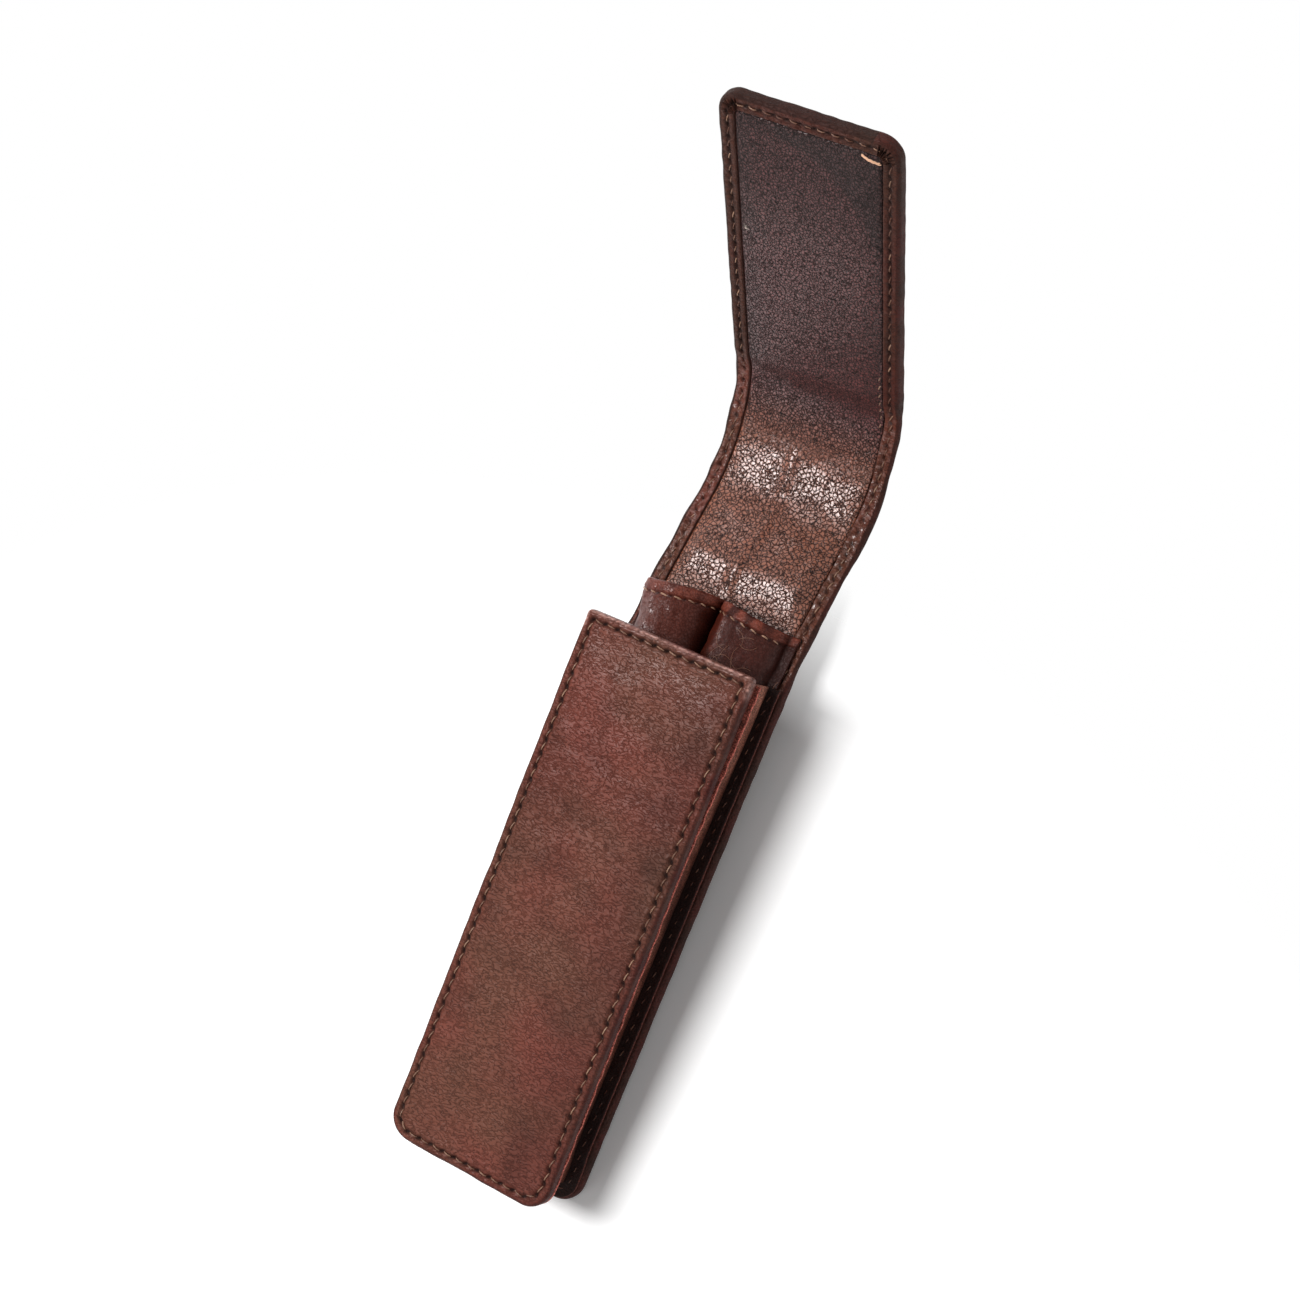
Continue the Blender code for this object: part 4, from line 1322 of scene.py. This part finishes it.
# Painted shade in the valley beside the middle seam and along the feet, and the right sleeve darker
valley = bump(mid_x + 1.5 * MM, 2.4 * MM) * smooth(1.2 - mid_h / (9 * MM)) * (mid_x < 0.5 * MM)
shade_and_tone = 0.7 * valley + 0.5 * smooth(mid_x / (3 * MM)) + 0.0 * rows_s
shade_and_tone = np.maximum(shade_and_tone, 0.7 * smooth((abs(mid_x) - 14.5 * MM) / (1.5 * MM)))
streaks = sum(bump(mid_x - streak_x, width) for streak_x, width in STREAKS)
streaks = streaks * (0.7 + 0.5 * noise(mid_x, rows_s, 2 * MM, 54)) * (from_top > RIM_WIDTH)
marks = {"raw": red_rim, "hole": pricked, "dark": shade_and_tone * (1 - streaks), "polish": streaks}
marks = {key: np.clip(value, 0.0, 1.0) for key, value in marks.items()}
faces = grid_faces(*rows_s.shape, False, True)
sleeves = add_piece("sleeve_strip", points, faces, sleeve_hide, marks)
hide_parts("pen_sleeves")
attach(sleeves, "pocket")

# %% [markdown]
# ## Stitches
#
# Every stitch is a short piece of thread that comes up through one hole, lies on the leather
# and goes down through the next. It sits a little askew, because the needle's holes are
# slanted. Its section is not quite round but shows the two plies, which turn about each other.
# Each stitch is a few dozen faces, placed on the flat pattern and bent with the leather.

# %% Stitches
THREAD = 0.135 * MM
STITCH_SINK = 0.34 * MM
STITCH_LIFT = 0.38 * MM
STITCH_RINGS = 8
TUBE_SIDES = 6
TURN = np.linspace(0.0, 2 * math.pi, TUBE_SIDES, endpoint=False)


def tubes(x, s, h, radius, place, lifted=1.0):
    """Tubes with TUBE_SIDES round middle lines, one line a row. Each ring is the line's point
    plus radius times cos square to the line on the pattern and radius times sin in height."""
    count, steps = x.shape
    step_x, step_s = np.gradient(x, axis=1)[..., None], np.gradient(s, axis=1)[..., None]
    aside = radius * np.cos(TURN) / np.hypot(step_x, step_s)
    up = h[..., None] + radius * np.sin(TURN)
    points = place(x[..., None] - step_s * aside, s[..., None] + step_x * aside, up, lifted)
    size = TUBE_SIDES * steps
    faces = [grid_faces(steps, TUBE_SIDES, False, True, first=size * k) for k in range(count)]
    caps = [list(range(size * k, size * k + TUBE_SIDES)) for k in range(count)]
    caps += [list(range(size * (k + 1) - TUBE_SIDES, size * (k + 1))) for k in range(count)]
    return points, [tuple(face) for face in np.concatenate(faces).tolist()] + caps


def stitch_tubes(starts, ends, height, seed, lifted=1.0, side=1.0, place=on_strap, pale=(0.1, 1.0)):
    """Tubes over the middle 0.6 of the way from each start to each end. The middle line
    starts STITCH_SINK under the height and rises by STITCH_LIFT times sin(pi t) to the 0.6;
    side -1 turns both round, for an outer face. The radius is THREAD times
    1 + 0.15 cos 2(turn + twist), for two plies. pale is how light the darkest and the lightest
    stitches are: a random paler tint, partly frayed thread and partly painted highlight."""
    rng = np.random.default_rng(seed)
    count = len(starts)
    t = np.linspace(0.0, 1.0, STITCH_RINGS)[None, :]
    length = np.hypot(*(ends - starts).T)[:, None]
    dir_x, dir_s = ((ends - starts)[:, k : k + 1] / length for k in (0, 1))
    askew = (0.20 + 0.06 * rng.standard_normal((count, 1))) * MM * (1 - 2 * t)
    lift = np.sin(math.pi * t) ** 0.6 * (1 + 0.15 * rng.standard_normal((count, 1)))
    along = length * (0.2 + 0.6 * t)
    x = starts[:, :1] + dir_x * along - dir_s * askew
    s = starts[:, 1:] + dir_s * along + dir_x * askew
    wave = 2 * (TURN + (2.2 * math.pi * t + 3 * rng.random((count, 1)))[..., None])
    radius = THREAD * (1 + 0.15 * np.cos(wave)) * (0.75 + 0.25 * np.sin(math.pi * t))[..., None]
    h = height + side * (STITCH_LIFT * lift - STITCH_SINK)
    points, faces = tubes(x, s, h + 0.0 * x, radius, place, lifted)
    shade = pale[0] + (pale[1] - pale[0]) * rng.random((count, 1, 1)) ** 2 + 0.0 * wave
    return points, faces, shade, 0.5 + 0.5 * np.cos(wave)


def make_seam(name, starts, ends, height, seed, **how):
    """All stitches of one seam as one piece."""
    points, faces, shade, ply = stitch_tubes(starts, ends, height, seed, **how)
    return add_piece(name, points, faces, thread, {"tint": shade, "ply": ply})


def hole_pairs(holes):
    """The start and the end of each stitch through a closed round of holes."""
    return holes[:, :2], np.roll(holes[:, :2], -1, 0)


# %% [markdown]
# The seams are sewn one by one, each with its own seed. The front panel's shows on its outer
# face. The sleeves have one along the rim and one down the middle. The strap's runs all round:
# outside it shows whole, and inside it lies on the bare hem and, along the pocket, on the
# gusset's flange, where it is painted dark like the flange, as the front panel's shadow.

# %% Seams of the case
outer_face = {"lifted": 0.0, "side": -1.0}
starts, ends = hole_pairs(front_holes)
front_thread = make_seam(
    "front_panel_seam", starts, ends, -0.02 * MM, 61, place=on_front, pale=(0.3, 1.0), **outer_face
)
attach(front_thread, "pocket")

arched = np.minimum(rim_h[:-1], rim_h[1:]) > 1.0 * MM
rim_ends = np.stack([rim_u, rim_s], 1)
starts, ends = rim_ends[:-1][arched], rim_ends[1:][arched]
rim_thread = make_seam(
    "sleeve_rim_seam", starts, ends, SLEEVE / 2 + 0.04 * MM, 65, place=on_sleeve, pale=(0.5, 1.0)
)
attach(rim_thread, "pocket")

middle_s = np.arange(SLEEVE_BOTTOM + 2 * MM, SLEEVE_SEAM_TOP - MM, PITCH)
middle_ends = np.stack([0 * middle_s, middle_s], 1)
middle_thread = make_seam(
    "sleeve_middle_seam", middle_ends[:-1], middle_ends[1:], STACK + GAP + SLEEVE, 66
)
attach(middle_thread, "pocket")

starts, ends = hole_pairs(strap_holes)
middle = (starts[:, 1] + ends[:, 1]) / 2
for name, keep, bodies, zone in (
    ("lower", middle < SPLIT, ("pocket", "spine"), BACK_FOLD_ZONE),
    ("upper", middle >= SPLIT, ("spine", "flap"), FLAP_FOLD_ZONE),
):
    inner = keep & (middle > GUSSET_MOUTH + MM)
    over = keep & (middle <= GUSSET_MOUTH + MM)
    outer_thread = make_seam(
        f"{name}_outer_seam", starts[keep], ends[keep], 0.02 * MM, 62, **outer_face
    )
    inner_thread = make_seam(f"{name}_hem_seam", starts[inner], ends[inner], STACK - 0.02 * MM, 63)
    bend_between(outer_thread, *bodies, zone)
    bend_between(inner_thread, *bodies, zone)
    if over.any():
        # On the back flange the stitches are painted dark: painted shadow of the front panel
        flange = STACK + GAP + GUSSET + over_sleeves(middle[over])[:, None]
        flange_thread = make_seam(
            "gusset_seam", starts[over], ends[over], flange, 64, pale=(0.0, 0.3)
        )
        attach(flange_thread, "pocket")

# %% [markdown]
# ## Ends and fibres
#
# Use leaves its marks in thread too. Low on the flap's right side the seam was sewn a second
# time, on the lining's own edge. In the flap's corner a cream end of thread sticks out from
# under the hem, and fine fibres lie on the flatter sleeve. They are so thin that they cost
# nothing, and they tell the eye how large the case is.

# %% Ends and fibres
AGAIN_START, AGAIN_END = 187 * MM, 206 * MM
FIBRES = 11

again_s = np.arange(AGAIN_START, AGAIN_END, 0.8 * PITCH)
again = np.stack([0 * again_s + HALF - LINING_EDGE - 0.7 * MM, again_s], 1)
again_thread = make_seam("flap_second_seam", again[:-1], again[1:], STACK, 67, pale=(0.5, 1.0))
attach(again_thread, "flap")


def add_strands(name, x, s, h, radius, place, tint):
    """Plain thin strands along their middle lines, all of one tint."""
    points, faces = tubes(x, s, h, radius, place)
    shade = tint + 0.0 * points[..., 0]
    return add_piece(name, points, faces, thread, {"tint": shade, "ply": 0.0 * shade + 1.0})


t = np.linspace(0.0, 1.0, 14)[None, :]
end_x = HALF - (8.3 - 4.3 * t + np.array([[0.0], [0.25], [0.5]]) * t) * MM
end_s = STRAP_END - (4.4 + 0.9 * t + 0.22 * np.sin(9 * t + np.array([[0.0], [2.0], [4.0]]))) * MM
end_h = STACK + (0.25 + 0.35 * np.sin(math.pi * t) + 0.0 * end_x / MM) * MM
raw_end = add_strands("raw_thread_end", end_x, end_s, end_h, 0.13 * MM, on_strap, 1.0)
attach(raw_end, "flap")

rng = np.random.default_rng(71)
foot_u = np.interp(4.0 * MM, line_x, line_u)
at_u = foot_u + 9.0 * MM * rng.random((FIBRES, 1))
at_s = (122 + 8 * rng.random((FIBRES, 1))) * MM
way = 2 * math.pi * rng.random((FIBRES, 1)) + (3.0 * rng.random((FIBRES, 1)) - 1.5) * t
reach = (2.5 + 3.0 * rng.random((FIBRES, 1))) * MM * (t - 0.5)
fibre_u, fibre_s = at_u + reach * np.cos(way), at_s + reach * np.sin(way)
fibre_h = SLEEVE / 2 + (0.08 + 0.45 * rng.random((FIBRES, 1)) * np.sin(math.pi * t)) * MM
fibres = add_strands("sleeve_fibres", fibre_u, fibre_s, fibre_h, 0.025 * MM, on_sleeve, 0.25)
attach(fibres, "pocket")
